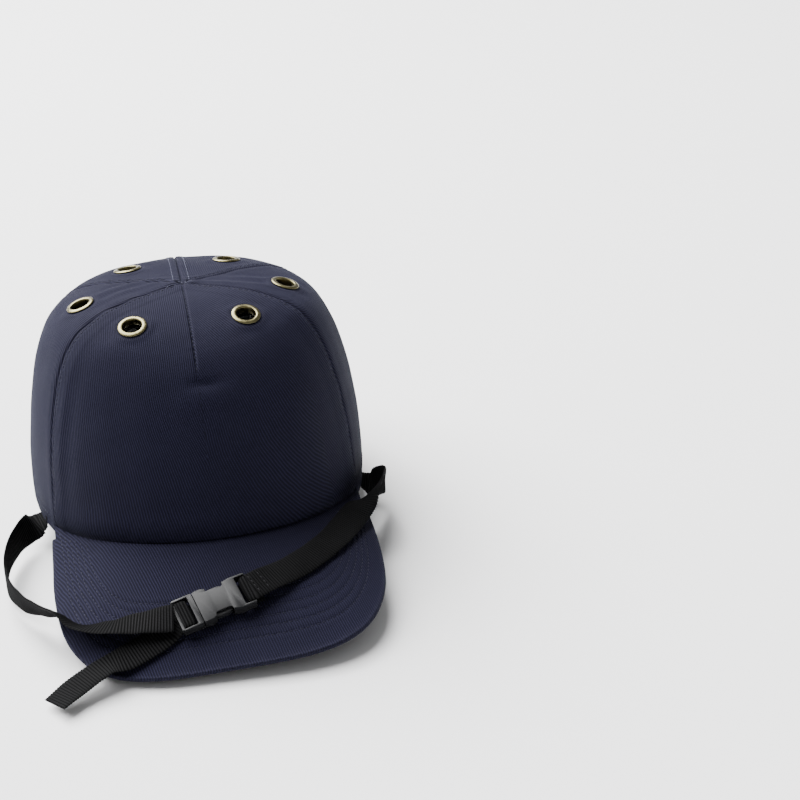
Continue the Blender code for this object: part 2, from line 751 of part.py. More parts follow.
Q1, V1 = smooth_path(P + [in_buckle(28.6, 0, 2.3)], W + [-bv], 32)
Qt = np.array([in_buckle(27.2, 0, 2.1)] + turn + [in_buckle(x, 0, -2.1) for x in (28.0, 31.0)])
Q, V = np.vstack([Q1, Qt]), np.vstack([V1, np.tile(-bv, (len(Qt), 1))])
ribbon("chin_strap_left", Q, V, WEB_W, WEB_T, "black_webbing", swing, 2, swing_o)

# wearer's right: from the rim, curling out beside the cap, over the visor's corner, round the plug's bar, to the free tail
P = [(-90.4, AXIS_Y, -2.6), (-92.9, -24.8, -3.8), (-97.0, -29, -3.6), (-103.5, -41, -4.0), (-108.8, -59, -6.2), (-109.0, -79, -8.4),
     (-103.0, -97, -9.2), (-93.5, -112, -7.6), (-84.0, -124.5, -5.0)]
W = [(-0.12, 0.92, 0.33), (-0.1, 0.9, 0.4), (0, 0.6, 0.8), (0, 0.25, 0.97), (0, 0.05, 1), (0, -0.02, 1), (-0.12, -0.2, 0.97), (-0.25, -0.5, 0.83),
     (-0.3, -0.72, 0.62)]
for x, y, h, w in ((-72.0, -134.5, 6.9, (-0.2, -0.9, 0.38)), (-58.0, -140.5, 6.4, (-0.05, -0.97, 0.12)), (-44.0, -142.8, 5.8, (0.08, -0.96, -0.15))):
    P.append(on_visor(x, y, h))
    W.append(w)
Q1, V1 = smooth_path(P + [in_buckle(-13.0, 0.2, 2.3)], W + [-bv], 38)
turn = [in_buckle(-6.0 + 1.75 * math.sin(a), 0, 1.75 * math.cos(a)) for a in np.linspace(0, math.pi, 9)]
Qt = np.array([in_buckle(-10.0, 0, 1.8)] + turn + [in_buckle(-10.0, 0, -1.8)])
P = [in_buckle(-12.2, 0, -1.8)]
W = [-bv]
for x, y, h, w in ((-34.0, -150.6, 1.7, (0.35, -0.86, 0)), (-50.0, -156.2, 1.9, (0.33, -0.9, 0)), (-62.0, -160.0, 2.4, (0.33, -0.93, 0))):
    p, w = lay(x, y, h, w)
    P.append(p)
    W.append(w)
P += [(-76.5, -168.0, -21.9), (-88.0, -177.0, -25.0)]
W += [(0.42, -0.9, -0.1), (0.5, -0.86, 0.02)]
Q2, V2 = smooth_path(P, W, 18)
Q = np.vstack([Q1, Qt, Q2])
V = np.vstack([V1, np.tile(-bv, (len(Qt), 1)), V2])
ribbon("chin_strap_right", Q, V, WEB_W, WEB_T, "black_webbing", swing, 2, swing_o)


# ------------------------------------------------------------------ rear strap, ring, tab, binding
def rear_ribbon(name, path, width, thick, look, parent=None, origin=(0, 0, 0), step=2.0):
    """Ribbon standing on edge along the rear wall; path holds (x, depth) pairs."""
    path = np.array(path, float)
    L = np.r_[0, np.cumsum(np.linalg.norm(np.diff(path, axis=0), axis=1))]
    Q = back_point(path[:, 0], STRAP_Z, path[:, 1])
    V = np.tile((0.0, 0.0, 1.0), (len(Q), 1))
    return ribbon(name, Q, V, width, thick, look, parent, 2, origin)


BAR_S, BAR_T = RING_X - RING_HALF, RING_X + RING_HALF
wrap_r = RING_R + 0.3 + STRAP_T / 2
path = [(-46, 3.1), (-40, 3.1), (-35, 3.0), (-31, 2.6), (-27, 2.2)] + [(x, 2.1) for x in np.linspace(-23, BAR_S - 2, 14)] + [(BAR_S, wrap_r)]
path += [(BAR_S + wrap_r * math.sin(a), wrap_r * math.cos(a)) for a in np.linspace(0, math.pi, 9)[1:]]
rear_ribbon("rear_strap", path, STRAP_H, STRAP_T, "navy_twill")

flap_root = BAR_S - 0.5
flap_axis_at = back_point(flap_root, STRAP_Z, -wrap_r - STRAP_T / 2)
flap_axis = empty("rear_flap_axis", flap_axis_at, parent=cap)
path = [(x, -wrap_r) for x in np.linspace(flap_root, -30, 22)]
rear_ribbon("rear_flap", path, STRAP_H, STRAP_T, "navy_twill", flap_axis, flap_axis_at)
path = [(x, -wrap_r + STRAP_T / 2 + 0.3 + 0.45) for x in np.linspace(-5, -29, 12)]
rear_ribbon("hook_patch", path, STRAP_H - 3, 0.9, "hook_loop", flap_axis, flap_axis_at)
path = [(x, 2.1 - STRAP_T / 2 - 0.3 - 0.5) for x in np.linspace(-30, 6, 16)]
rear_ribbon("loop_patch", path, STRAP_H - 3, 1.0, "hook_loop")

# ring: rectangular wire loop
rc = back_point(RING_X, STRAP_Z, 0.0)
rt = back_point(RING_X + 3, STRAP_Z, 0.0) - back_point(RING_X - 3, STRAP_Z, 0.0)
rt[2] = 0
rt = unit(rt)
cd = bpy.data.curves.new("ring", "CURVE")
cd.dimensions = "3D"
cd.bevel_depth = RING_R * MM
cd.bevel_resolution = 2
sp = cd.splines.new("POLY")
pts = []
hh, rr = STRAP_H / 2 + 0.6 + RING_R, 1.6
for cx, cz, a0 in ((RING_HALF - rr, hh - rr, 0), (-RING_HALF + rr, hh - rr, 90), (-RING_HALF + rr, -hh + rr, 180), (RING_HALF - rr, -hh + rr, 270)):
    for a in (0, 30, 60, 90):
        t = math.radians(a0 + a)
        pts.append(rc + rt * (cx + rr * math.cos(t)) + np.array([0, 0, 1.0]) * (cz + rr * math.sin(t)))
sp.points.add(len(pts) - 1)
for q, p in zip(sp.points, pts):
    q.co = (*(p * MM), 1.0)
sp.use_cyclic_u = True
tmp = bpy.data.objects.new("ring_curve", cd)
parts.objects.link(tmp)
bpy.context.view_layer.update()
me = bpy.data.meshes.new_from_object(tmp.evaluated_get(bpy.context.evaluated_depsgraph_get()))
bpy.data.objects.remove(tmp, do_unlink=True)
bm = bmesh.new()
bm.from_mesh(me)
bmesh.ops.remove_doubles(bm, verts=bm.verts, dist=0.00001)
bmesh.ops.recalc_face_normals(bm, faces=bm.faces)
bm.to_mesh(me)
bm.free()
add("rear_ring", me, "buckle_plastic")

# tab that holds the ring, its ends sewn inside the back panel
tr = RING_R + 0.3 + 0.45
path = [(44, 3.75), (38, 3.75), (34, 3.7), (30.8, 3.3), (28.8, 2.3)]
path += [(BAR_T - tr * math.sin(a), tr * math.cos(a)) for a in np.linspace(0, math.pi, 9)]
path += [(28.2, -1.8), (29.3, -0.7), (30.2, 0.9), (31.2, 2.0), (32.6, 2.3), (38, 2.35), (44, 2.35)]
rear_ribbon("ring_tab", path, STRAP_H - 3, 0.9, "navy_twill")

# bound edge of the arch
rings = []
for a in np.linspace(math.radians(17), math.radians(163), 17):
    ex, ez = math.cos(a) * OPEN_RISE, math.sin(a) * OPEN_HALF
    k = 1 / math.hypot(ex, ez)
    x, z = OPEN_HALF * math.cos(a), OPEN_STRAIGHT + OPEN_RISE * math.sin(a)
    sec = ((5.5, -0.35), (5.5, -1.0), (-1.1, -1.0), (-1.1, 2.35), (5.5, 2.35), (5.5, 1.65), (-0.4, 1.65), (-0.4, -0.35))
    rings.append([back_point(x + ex * k * r, z + ez * k * r, d) for r, d in sec])
add("rear_opening_binding", loft(rings), "navy_twill")

for ob in parts.objects:
    if ob.type == "MESH":
        ob.data.shade_smooth()
        ob.data.set_sharp_from_angle(angle=math.radians(40))
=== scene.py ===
"""Looks of the bump cap: fine fabric, stitching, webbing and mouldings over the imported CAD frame.

All shapes are computed in millimetres in the cap's own frame and turned into the row frame by world().
"""
import math

import bpy
import bmesh
import numpy as np
from mathutils import Matrix, Vector
from mathutils.bvhtree import BVHTree

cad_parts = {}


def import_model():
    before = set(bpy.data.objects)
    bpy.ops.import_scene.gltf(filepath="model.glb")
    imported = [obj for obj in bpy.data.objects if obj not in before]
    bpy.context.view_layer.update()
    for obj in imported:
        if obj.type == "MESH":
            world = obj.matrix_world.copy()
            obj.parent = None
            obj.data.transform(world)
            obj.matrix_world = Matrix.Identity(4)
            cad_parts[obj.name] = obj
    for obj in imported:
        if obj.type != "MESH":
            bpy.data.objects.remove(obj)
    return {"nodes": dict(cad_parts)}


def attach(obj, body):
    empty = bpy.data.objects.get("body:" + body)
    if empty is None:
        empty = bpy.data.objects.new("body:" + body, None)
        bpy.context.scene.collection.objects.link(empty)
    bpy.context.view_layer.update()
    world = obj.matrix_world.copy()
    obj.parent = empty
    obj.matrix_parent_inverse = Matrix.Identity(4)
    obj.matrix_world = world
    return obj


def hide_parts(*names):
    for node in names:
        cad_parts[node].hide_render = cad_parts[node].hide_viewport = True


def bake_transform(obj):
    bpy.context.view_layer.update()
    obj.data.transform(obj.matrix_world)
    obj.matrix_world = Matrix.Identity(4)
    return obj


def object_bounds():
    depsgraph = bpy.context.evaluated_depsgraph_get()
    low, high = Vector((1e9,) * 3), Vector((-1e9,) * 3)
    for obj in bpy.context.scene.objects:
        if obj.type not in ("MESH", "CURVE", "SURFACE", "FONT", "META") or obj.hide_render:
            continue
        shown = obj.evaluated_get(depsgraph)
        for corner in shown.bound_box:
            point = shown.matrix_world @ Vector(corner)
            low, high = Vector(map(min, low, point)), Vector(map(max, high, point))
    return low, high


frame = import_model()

lo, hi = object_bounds()

MM = 0.001
CAP_TILT = -5.7
CT, ST = math.cos(math.radians(CAP_TILT)), math.sin(math.radians(CAP_TILT))


def world(P):
    P = np.asarray(P, float)
    return np.stack([P[..., 0], P[..., 1] * CT - P[..., 2] * ST, P[..., 1] * ST + P[..., 2] * CT], -1) * MM


# crown
HALF_WIDTH = 92.0
HALF_LENGTH = 105.0
CROWN_HEIGHT = 119.0
PLAN_EXP = 1.94                  # superellipse exponent of the plan outline
SIDE_EXP, FRONT_EXP, BACK_EXP = 4.06, 2.46, 3.38     # profile exponents
APEX_SHIFT = -3.3                # the apex sits this far forward of the centre
WAIST_PULL = -0.036              # slight draw-in half way up
FABRIC = 1.2
SEAM_GAP = 0.3
SEAM_FRONT = 62.5                # seam between front and side panel, degrees from the front
SEAM_BACK = 113.0                # seam between side and back panel
TOP_STOP = 0.985                 # panels meet round a small point at the top

# rim arch over the visor
ARCH_RISE = 13.5
ARCH_SIDE = 3.9

# eyelets
EYELETS = (("front", 37.7, 0.749), ("side", 82.0, 0.763), ("rear", 138.8, 0.844))
EYELET_OD, EYELET_ID = 15.5, 10.0
FABRIC_HOLE_R = 5.95
SHELL_HOLE_R = 6.5

# inner shell
SHELL_DEPTH = 4.7                # outer face below the fabric's outer face
SHELL_WALL = 2.0
SHELL_EDGE = 12.0                # lower edge above the rim
SHELL_REAR_EDGE = 50.0
RIDGE_DEPTH = 3.6
RIDGE_HALF_WIDTH = 9.0
RIDGE_RX, RIDGE_RY, RIDGE_Y = 55.0, 56.0, -4.0

# foam pad: (distance from the centre, positive to the rear; half width)
PAD_THICK = 4.5
PAD_OUTLINE = ((88, 26), (80, 33), (68, 35), (50, 29), (36, 19), (26, 16.5), (12, 21), (-4, 27.5), (-14, 29.5),
               (-26, 28), (-38, 22), (-50, 17.5), (-64, 17), (-90, 16.5))

# sweatband
BAND_WIDTH = 29.0
BAND_THICK = 1.4
BAND_END = 148.0

# visor
VISOR_LENGTH = 67.8
VISOR_HALF_WIDTH = 84.6
VISOR_EXP = 3.7
VISOR_DROP = -22.8
VISOR_ROOT_Y = -56.6
VISOR_TAPER = 0.046
VISOR_TWIST = 4.5
VISOR_SKEW = -2.0
VISOR_JOIN = 64.0                # the visor is sewn on between plus and minus this angle
VISOR_THICK = 4.0
COVER = 0.8
LAYER_GAP = 0.3
CROWNING = 1.2

# rear opening and strap
OPEN_HALF = 33.0
OPEN_STRAIGHT = 14.0
OPEN_RISE = 32.0
STRAP_H = 20.0
STRAP_Z = 11.0
STRAP_T = 1.2
RING_X, RING_HALF = 23.5, 3.5
RING_R = 1.2

# chin strap and buckle
WEB_W, WEB_T = 16.0, 1.2
AXIS_Y, AXIS_Z = -24.0, 1.0
BUCKLE_AT = (-14.0, -143.0)      # mouth of the socket, plan position on the visor
BUCKLE_YAW = 17.0
SOCKET_L, BUCKLE_W, BUCKLE_T = 28.0, 19.0, 6.4
PLUG_FRAME = 11.5
PRONG_PIVOT = (0.9, 7.0)


def sheet(nu, nv, f, wrap=False, pole=False, origin=(0, 0, 0)):
    """A grid whose point (u, v), each 0..1, sits at f(u, v) in millimetres."""
    bm = bmesh.new()
    bmesh.ops.create_grid(bm, x_segments=nu, y_segments=nv, size=0.5)
    bm.verts.ensure_lookup_table()
    uv = np.array([(v.co.x + 0.5, v.co.y + 0.5) for v in bm.verts])
    P = f(uv[:, 0], uv[:, 1]) - np.array(origin, float)
    for v, p in zip(bm.verts, P):
        v.co = Vector(p) * MM
    if wrap or pole:
        bmesh.ops.remove_doubles(bm, verts=bm.verts, dist=0.00002)
    me = bpy.data.meshes.new("sheet")
    bm.to_mesh(me)
    bm.free()
    return me



# ------------------------------------------------------------------ crown surface
def unit(v):
    return v / np.maximum(np.linalg.norm(v, axis=-1, keepdims=True), 1e-12)


def profile_exp(phi):
    c = np.cos(phi)
    return SIDE_EXP + (FRONT_EXP - SIDE_EXP) * np.clip(c, 0, 1) ** 2 + (BACK_EXP - SIDE_EXP) * np.clip(-c, 0, 1) ** 2


def crown_raw(phi, v):
    n = profile_exp(phi)
    al = np.clip(v, 0, 1) * math.pi / 2
    c, s = np.cos(al), np.sin(al)
    r = (c ** n + s ** n) ** (-1 / n)
    rho, zeta = np.clip(r * c, 0, 1), r * s
    t = np.arccos(np.clip(rho ** (n / 2), 0, 1)) * 2 / math.pi
    pull = 1 + WAIST_PULL * np.sin(math.pi * np.clip(t * 1.6, 0, 1))
    cp, sp = np.cos(phi), np.sin(phi)
    ux = np.sign(sp) * np.abs(sp) ** (2 / PLAN_EXP)
    uy = -np.sign(cp) * np.abs(cp) ** (2 / PLAN_EXP)
    return np.stack([rho * HALF_WIDTH * ux * pull, APEX_SHIFT * (1 - rho) + rho * HALF_LENGTH * uy * pull,
                     CROWN_HEIGHT * zeta], -1)


def crown_normal(phi, v):
    e = 2e-3
    vv = np.clip(v, e, 0.97)
    du = crown_raw(phi + e, vv) - crown_raw(phi - e, vv)
    dv = crown_raw(phi, vv + e) - crown_raw(phi, vv - e)
    n = unit(np.cross(du, dv))
    k = np.clip((v - 0.9) / 0.1, 0, 1)[..., None]
    return unit(n * (1 - k) + np.array([0, 0, 1.0]) * k)


def crown(phi, v, depth=0.0):
    depth = np.asarray(depth, float)
    return crown_raw(phi, v) - crown_normal(phi, v) * (depth[..., None] if depth.ndim else depth)


def v_of_z(phi, z):
    n = profile_exp(phi)
    ze = np.clip(z / CROWN_HEIGHT, -0.2, 0.999)
    rho = (1 - np.abs(ze) ** n) ** (1 / n)
    return np.arctan2(ze, rho) * 2 / math.pi


def v_of_t(phi, t):
    n = profile_exp(phi)
    rho = np.cos(math.pi * t / 2) ** (2 / n)
    ze = np.sin(math.pi * t / 2) ** (2 / n)
    return np.arctan2(ze, rho) * 2 / math.pi


def rim(phi):
    """Height of the visor's seam."""
    c = np.clip(np.cos(phi), 0, 1)
    return ARCH_RISE * c ** 2 + ARCH_SIDE * np.sin(phi) ** 2 * c


def hem(phi):
    """Lower edge of the fabric."""
    return np.clip(rim(phi) - VISOR_THICK - 0.3, 0, None)


def back_point(x, z, depth):
    """Point of the rear wall at a given x and height."""
    x, z, depth = np.broadcast_arrays(np.asarray(x, float), np.asarray(z, float), np.asarray(depth, float))
    phi = np.full(x.shape, math.pi)
    for _ in range(4):
        v = v_of_z(phi, z)
        half = np.abs(crown_raw(phi * 0 + math.pi / 2, v)[..., 0])
        s = np.clip(np.abs(x) / half, 0, 0.999) ** (PLAN_EXP / 2)
        phi = math.pi - np.arcsin(s) * np.sign(x)
    return crown(phi, v_of_z(phi, z), depth)



def ridge(P):
    q = np.sqrt((P[..., 0] / RIDGE_RX) ** 2 + ((P[..., 1] - RIDGE_Y) / RIDGE_RY) ** 2)
    k = np.clip((q - 1.02) * RIDGE_RX / RIDGE_HALF_WIDTH, -1, 1)
    return RIDGE_DEPTH * np.cos(k * math.pi / 2) ** 2


def shell_edge(phi):
    a = np.degrees(np.abs((phi + math.pi) % (2 * math.pi) - math.pi))
    k = np.clip((a - 118) / 34, 0, 1)
    k = k * k * (3 - 2 * k)
    return (hem(phi) + SHELL_EDGE) * (1 - k) + SHELL_REAR_EDGE * k


def shell_face(phi, v, extra=0.0):
    return crown(phi, v, SHELL_DEPTH + extra + ridge(crown_raw(phi, v)))


def shell_fn(extra):
    def f(u, k):
        phi = (u * 2 - 1) * math.pi
        v0 = v_of_z(phi, shell_edge(phi))
        kk = k + 0.10 * np.sin(2 * math.pi * k) * 0.0
        v = v0 * (1 - kk) + 1.0 * kk
        P = shell_face(phi, v, extra)
        top = np.asarray(k) > 0.9999
        P[top] = (0, APEX_SHIFT, CROWN_HEIGHT - SHELL_DEPTH - extra)
        return P
    return f



# ------------------------------------------------------------------ visor
def visor_join(b):
    phi = b / (math.pi / 2) * math.radians(VISOR_JOIN)
    z = rim(phi)
    v = v_of_z(phi, z)
    n = crown_normal(phi, v) * np.array([1, 1, 0])
    P = crown_raw(phi, v)
    P = P + unit(n) * 0.45
    P[..., 2] = z
    return P


def visor_edge(b):
    s, c = np.sin(b), np.cos(b)
    r = (np.abs(s) ** VISOR_EXP + np.abs(c) ** VISOR_EXP) ** (-1 / VISOR_EXP)
    ux, uy = r * s, np.abs(r * c)
    reach = HALF_LENGTH + VISOR_LENGTH + VISOR_ROOT_Y
    x = VISOR_HALF_WIDTH * ux * (1 + VISOR_TAPER * uy)
    y = VISOR_ROOT_Y - reach * uy + VISOR_SKEW * x / 85
    z = VISOR_DROP * uy + 1.6 * 4 * uy * (1 - uy) + VISOR_TWIST * x / 85 * np.clip((-y - 30) / 140, 0, 1)
    return np.stack([x, y, z], -1)


def visor_outward(b):
    e = 1e-3
    lim = math.pi / 2 - 2e-3
    bb = np.clip(b, -lim, lim)
    d = visor_edge(bb + e) - visor_edge(bb - e)
    n = np.stack([d[..., 1], -d[..., 0], 0 * d[..., 0]], -1)
    return unit(n) * np.sign(n[..., :1] * np.sin(bb)[..., None] + n[..., 1:2] * -np.cos(bb)[..., None] + 1e-9)


def visor(b, w, inset=2.0, h=0.0, root=0.0):
    """Point of the visor: w 0 at the crown, 1 at the outer edge; h below (negative) the top face."""
    A = visor_join(b)
    B = visor_edge(b) - visor_outward(b) * np.asarray(inset)[..., None]
    B[..., 2] += VISOR_THICK / 2
    w = np.asarray(w)[..., None]
    w = w + (1 - w) * root / np.linalg.norm(B - A, axis=-1, keepdims=True)
    P = A * (1 - w) + B * w
    P = P + np.array([0, 0, 1.0]) * CROWNING * 4 * w * (1 - w) * (np.cos(b)[..., None] ** 2)
    tilt = unit(B - A)
    side = unit(np.cross(tilt, np.array([0, 0, 1.0])))
    nrm = unit(np.cross(side, tilt))
    return P + nrm * np.asarray(h)[..., None]


HALF_PI = math.pi / 2


def spread(u):
    return (u * 2 - 1) * HALF_PI



# the visor's top face as a guide, for laying the strap and the buckle
g = bmesh.new()
g.from_mesh(sheet(96, 24, lambda u, k: visor(spread(u), k)))
visor_tree = BVHTree.FromBMesh(g)
g.free()


def on_visor(x, y, h=0.0):
    hit = visor_tree.ray_cast(Vector((x, y, 200.0)) * MM, Vector((0, 0, -1)))
    if hit[0] is None:
        near = visor_tree.find_nearest(Vector((x, y, -15.0)) * MM)
        return np.array((x, y, near[0].z / MM + h))
    return np.array(hit[0]) / MM + np.array(hit[1]) * h * (1 if hit[1].z > 0 else -1)



def lay(x, y, h, w):
    """Point h above the visor's top face, and the width vector w laid parallel to it."""
    a, b, c = on_visor(x, y), on_visor(x - 4, y), on_visor(x, y + 4)
    n = unit(np.cross(a - b, c - a))
    w = np.array(w, float)
    return a + n * h, unit(w - n * (w @ n))


# ------------------------------------------------------------------ ribbons
def smooth_path(P, W, n):
    """Catmull-Rom through the points, evenly spaced, with width vectors square to the path."""
    P, W = np.array(P, float), unit(np.array(W, float))
    ext = np.vstack([2 * P[0] - P[1], P, 2 * P[-1] - P[-2]])
    pts, ws = [], []
    for i in range(len(P) - 1):
        p0, p1, p2, p3 = ext[i:i + 4]
        for s in np.linspace(0, 1, 24, endpoint=False):
            pts.append(0.5 * (2 * p1 + (p2 - p0) * s + (2 * p0 - 5 * p1 + 4 * p2 - p3) * s * s + (3 * p1 - p0 - 3 * p2 + p3) * s ** 3))
            k = s * s * (3 - 2 * s)
            ws.append(W[i] * (1 - k) + W[i + 1] * k)
    pts.append(P[-1])
    ws.append(W[-1])
    pts, ws = np.array(pts), np.array(ws)
    L = np.r_[0, np.cumsum(np.linalg.norm(np.diff(pts, axis=0), axis=1))]
    at = np.linspace(0, L[-1], n)
    Q = np.stack([np.interp(at, L, pts[:, i]) for i in range(3)], -1)
    V = np.stack([np.interp(at, L, ws[:, i]) for i in range(3)], -1)
    T = unit(np.gradient(Q, axis=0))
    V = unit(V - T * (V * T).sum(-1, keepdims=True))
    return Q, V



def resample(Q, V, n):
    L = np.r_[0, np.cumsum(np.linalg.norm(np.diff(Q, axis=0), axis=1))]
    at = np.linspace(0, L[-1], n)
    return (np.stack([np.interp(at, L, Q[:, i]) for i in range(3)], -1),
            unit(np.stack([np.interp(at, L, V[:, i]) for i in range(3)], -1)))



# ------------------------------------------------------------------ buckle frame
yaw = math.radians(BUCKLE_YAW)
foot = np.array([on_visor(BUCKLE_AT[0] + a * math.cos(yaw) - c * math.sin(yaw), BUCKLE_AT[1] + a * math.sin(yaw) + c * math.cos(yaw))
                 for a in (-11.5, 0, 9, 18, 28) for c in (-9.5, 0, 9.5)])
centre = foot.mean(0)
_, _, vt = np.linalg.svd(foot - centre)
bn = vt[2] * np.sign(vt[2][2])
bu = unit(np.array([math.cos(yaw), math.sin(yaw), 0]) - bn * (np.array([math.cos(yaw), math.sin(yaw), 0]) @ bn))
bv = np.cross(bn, bu)
lift = ((foot - centre) @ bn).max()
mouth = on_visor(*BUCKLE_AT)
mouth = mouth + bn * (lift - (mouth - centre) @ bn + BUCKLE_T / 2 + 0.6)
buckle_rot = Matrix((Vector(bu), Vector(bv), Vector(bn))).transposed()


def in_buckle(x, y, z):
    return mouth + bu * x + bv * y + bn * z




# ------------------------------------------------------------------ materials
class Look:
    """Small helper for building a node material."""

    def __init__(self, name, **fixed):
        self.m = bpy.data.materials.new(name)
        self.m.use_nodes = True
        self.nt = self.m.node_tree
        self.b = self.nt.nodes["Principled BSDF"]
        for k, v in fixed.items():
            self.b.inputs[k.replace("_", " ")].default_value = v

    def node(self, kind, **props):
        n = self.nt.nodes.new(kind)
        for k, v in props.items():
            setattr(n, k, v)
        return n

    def link(self, a, b):
        self.nt.links.new(a, b)

    def uv(self):
        n = self.node("ShaderNodeUVMap")
        n.uv_map = "weave"
        return n.outputs[0]

    def place(self):
        return self.node("ShaderNodeTexCoord").outputs["Object"]

    def attr(self, name):
        n = self.node("ShaderNodeAttribute")
        n.attribute_name = name
        return n.outputs["Fac"]

    def math(self, op, a, b=0.0, c=None, clamp=False):
        n = self.node("ShaderNodeMath", operation=op, use_clamp=clamp)
        for i, x in enumerate((a, b, c)):
            if x is None:
                continue
            if isinstance(x, (int, float)):
                n.inputs[i].default_value = x
            else:
                self.link(x, n.inputs[i])
        return n.outputs[0]

    def dot(self, vec, d):
        n = self.node("ShaderNodeVectorMath", operation="DOT_PRODUCT")
        self.link(vec, n.inputs[0])
        n.inputs[1].default_value = d
        return n.outputs["Value"]

    def scaled(self, vec, s):
        n = self.node("ShaderNodeVectorMath", operation="MULTIPLY")
        self.link(vec, n.inputs[0])
        n.inputs[1].default_value = s
        return n.outputs[0]

    def noise(self, vec, scale, detail=3.0, rough=0.55, distort=0.0):
        n = self.node("ShaderNodeTexNoise")
        self.link(vec, n.inputs["Vector"])
        n.inputs["Scale"].default_value = scale
        n.inputs["Detail"].default_value = detail
        n.inputs["Roughness"].default_value = rough
        n.inputs["Distortion"].default_value = distort
        return n.outputs["Fac"]

    def cells(self, vec, scale, feature="F1"):
        n = self.node("ShaderNodeTexVoronoi", feature=feature)
        self.link(vec, n.inputs["Vector"])
        n.inputs["Scale"].default_value = scale
        return n.outputs["Distance"]

    def ramp(self, fac, stops):
        n = self.node("ShaderNodeValToRGB")
        r = n.color_ramp
        while len(r.elements) < len(stops):
            r.elements.new(0.5)
        for e, (p, c) in zip(r.elements, stops):
            e.position = p
            e.color = (*c, 1.0) if len(c) == 3 else c
        self.link(fac, n.inputs[0])
        return n.outputs[0]

    def range(self, x, a, b, c=0.0, d=1.0):
        n = self.node("ShaderNodeMapRange")
        self.link(x, n.inputs[0])
        for i, q in enumerate((a, b, c, d)):
            n.inputs[i + 1].default_value = q
        return n.outputs[0]

    def mix(self, fac, a, b, kind="MIX"):
        n = self.node("ShaderNodeMix", data_type="RGBA", blend_type=kind)
        if isinstance(fac, (int, float)):
            n.inputs[0].default_value = fac
        else:
            self.link(fac, n.inputs[0])
        for i, x in ((6, a), (7, b)):
            if isinstance(x, tuple):
                n.inputs[i].default_value = (*x, 1.0)
            else:
                self.link(x, n.inputs[i])
        return n.outputs[2]

    def colour(self, c):
        self.link(c, self.b.inputs["Base Color"])

    def rough(self, r):
        self.link(r, self.b.inputs["Roughness"])

    def bump(self, h, strength, distance, before=None):
        n = self.node("ShaderNodeBump")
        n.inputs["Strength"].default_value = strength
        n.inputs["Distance"].default_value = distance
        self.link(h, n.inputs["Height"])
        if before is not None:
            self.link(before, n.inputs["Normal"])
        return n.outputs[0]

    def normal(self, n):
        self.link(n, self.b.inputs["Normal"])


def times(c, k):
    return tuple(x * k for x in c)


def twill(name, base, pitch=1.2, sheen=0.028, worn=True):
    m = Look(name, Metallic=0.0, Sheen_Weight=sheen, Sheen_Roughness=0.45, Sheen_Tint=(0.62, 0.68, 0.95, 1.0), Specular_IOR_Level=0.06)
    uv, at = m.uv(), m.place()
    drift = m.noise(uv, 0.10, 2.0)
    fine = m.noise(uv, 1.1, 2.0)
    w = 2 * math.pi / pitch
    phase = m.math("ADD", m.dot(uv, (w, 0, 0)), m.math("ADD", m.math("MULTIPLY", drift, 5.0), m.math("MULTIPLY", fine, 0.9)))
    rib = m.math("MULTIPLY_ADD", m.math("SINE", phase), 0.5, 0.5)
    pick = m.math("MULTIPLY_ADD", m.math("SINE", m.math("ADD", m.dot(uv, (w * 0.5, w * 1.9, 0)), m.math("MULTIPLY", fine, 2.0))), 0.5, 0.5)
    yarn = m.noise(m.scaled(uv, (1.0, 0.22, 1.0)), 3.4, 2.0, 0.6)
    h = m.math("ADD", m.math("MULTIPLY", rib, 0.62), m.math("ADD", m.math("MULTIPLY", pick, 0.20), m.math("MULTIPLY", yarn, 0.34)))
    tone = m.noise(at, 26.0, 4.0, 0.6)
    cloud = m.noise(at, 9.0, 2.0, 0.5)
    c = m.ramp(h, [(0.14, times(base, 0.30)), (0.55, times(base, 0.95)), (0.96, times(base, 2.35))])
    c = m.mix(m.range(tone, 0.3, 0.75, 0.0, 0.34), c, times(base, 0.62))
    c = m.mix(m.range(cloud, 0.35, 0.7, 0.0, 0.25), c, (base[0] * 1.5, base[1] * 1.45, base[2] * 1.35))
    fleck = m.range(m.noise(m.scaled(uv, (1.0, 0.35, 1.0)), 2.3, 4.0, 0.75), 0.66, 0.78, 0.0, 0.30)
    c = m.mix(fleck, c, (base[0] * 5 + 0.006, base[1] * 5 + 0.006, base[2] * 3.4 + 0.006))
    if worn:
        wear = m.math("MULTIPLY", m.attr("wear"), m.range(m.noise(at, 420.0, 3.0, 0.7), 0.35, 0.7, 0.25, 1.0), clamp=True)
        c = m.mix(m.math("MULTIPLY", wear, 0.38), c, (base[0] * 3.4 + 0.004, base[1] * 3.3 + 0.004, base[2] * 2.4 + 0.004))
    m.colour(c)
    m.rough(m.range(m.math("ADD", m.math("MULTIPLY", h, 0.6), m.math("MULTIPLY", tone, 0.4)), 0.2, 0.9, 0.92, 0.74))
    m.normal(m.bump(h, 0.75, 0.00032, m.bump(m.noise(at, 900.0, 3.0, 0.65), 0.25, 0.00022)))
    return m.m


def thread(name, base):
    m = Look(name, Sheen_Weight=0.03, Sheen_Roughness=0.4, Specular_IOR_Level=0.12)
    uv, at = m.uv(), m.place()
    ply = m.math("MULTIPLY_ADD", m.math("SINE", m.dot(uv, (9.0, 12.0, 0))), 0.5, 0.5)
    n = m.noise(at, 700.0, 3.0)
    c = m.ramp(m.math("ADD", m.math("MULTIPLY", ply, 0.6), m.math("MULTIPLY", n, 0.5)), [(0.15, times(base, 0.55)), (0.9, times(base, 1.5))])
    m.colour(c)
    m.rough(m.range(n, 0.3, 0.7, 0.55, 0.75))
    m.normal(m.bump(ply, 0.5, 0.00012))
    return m.m


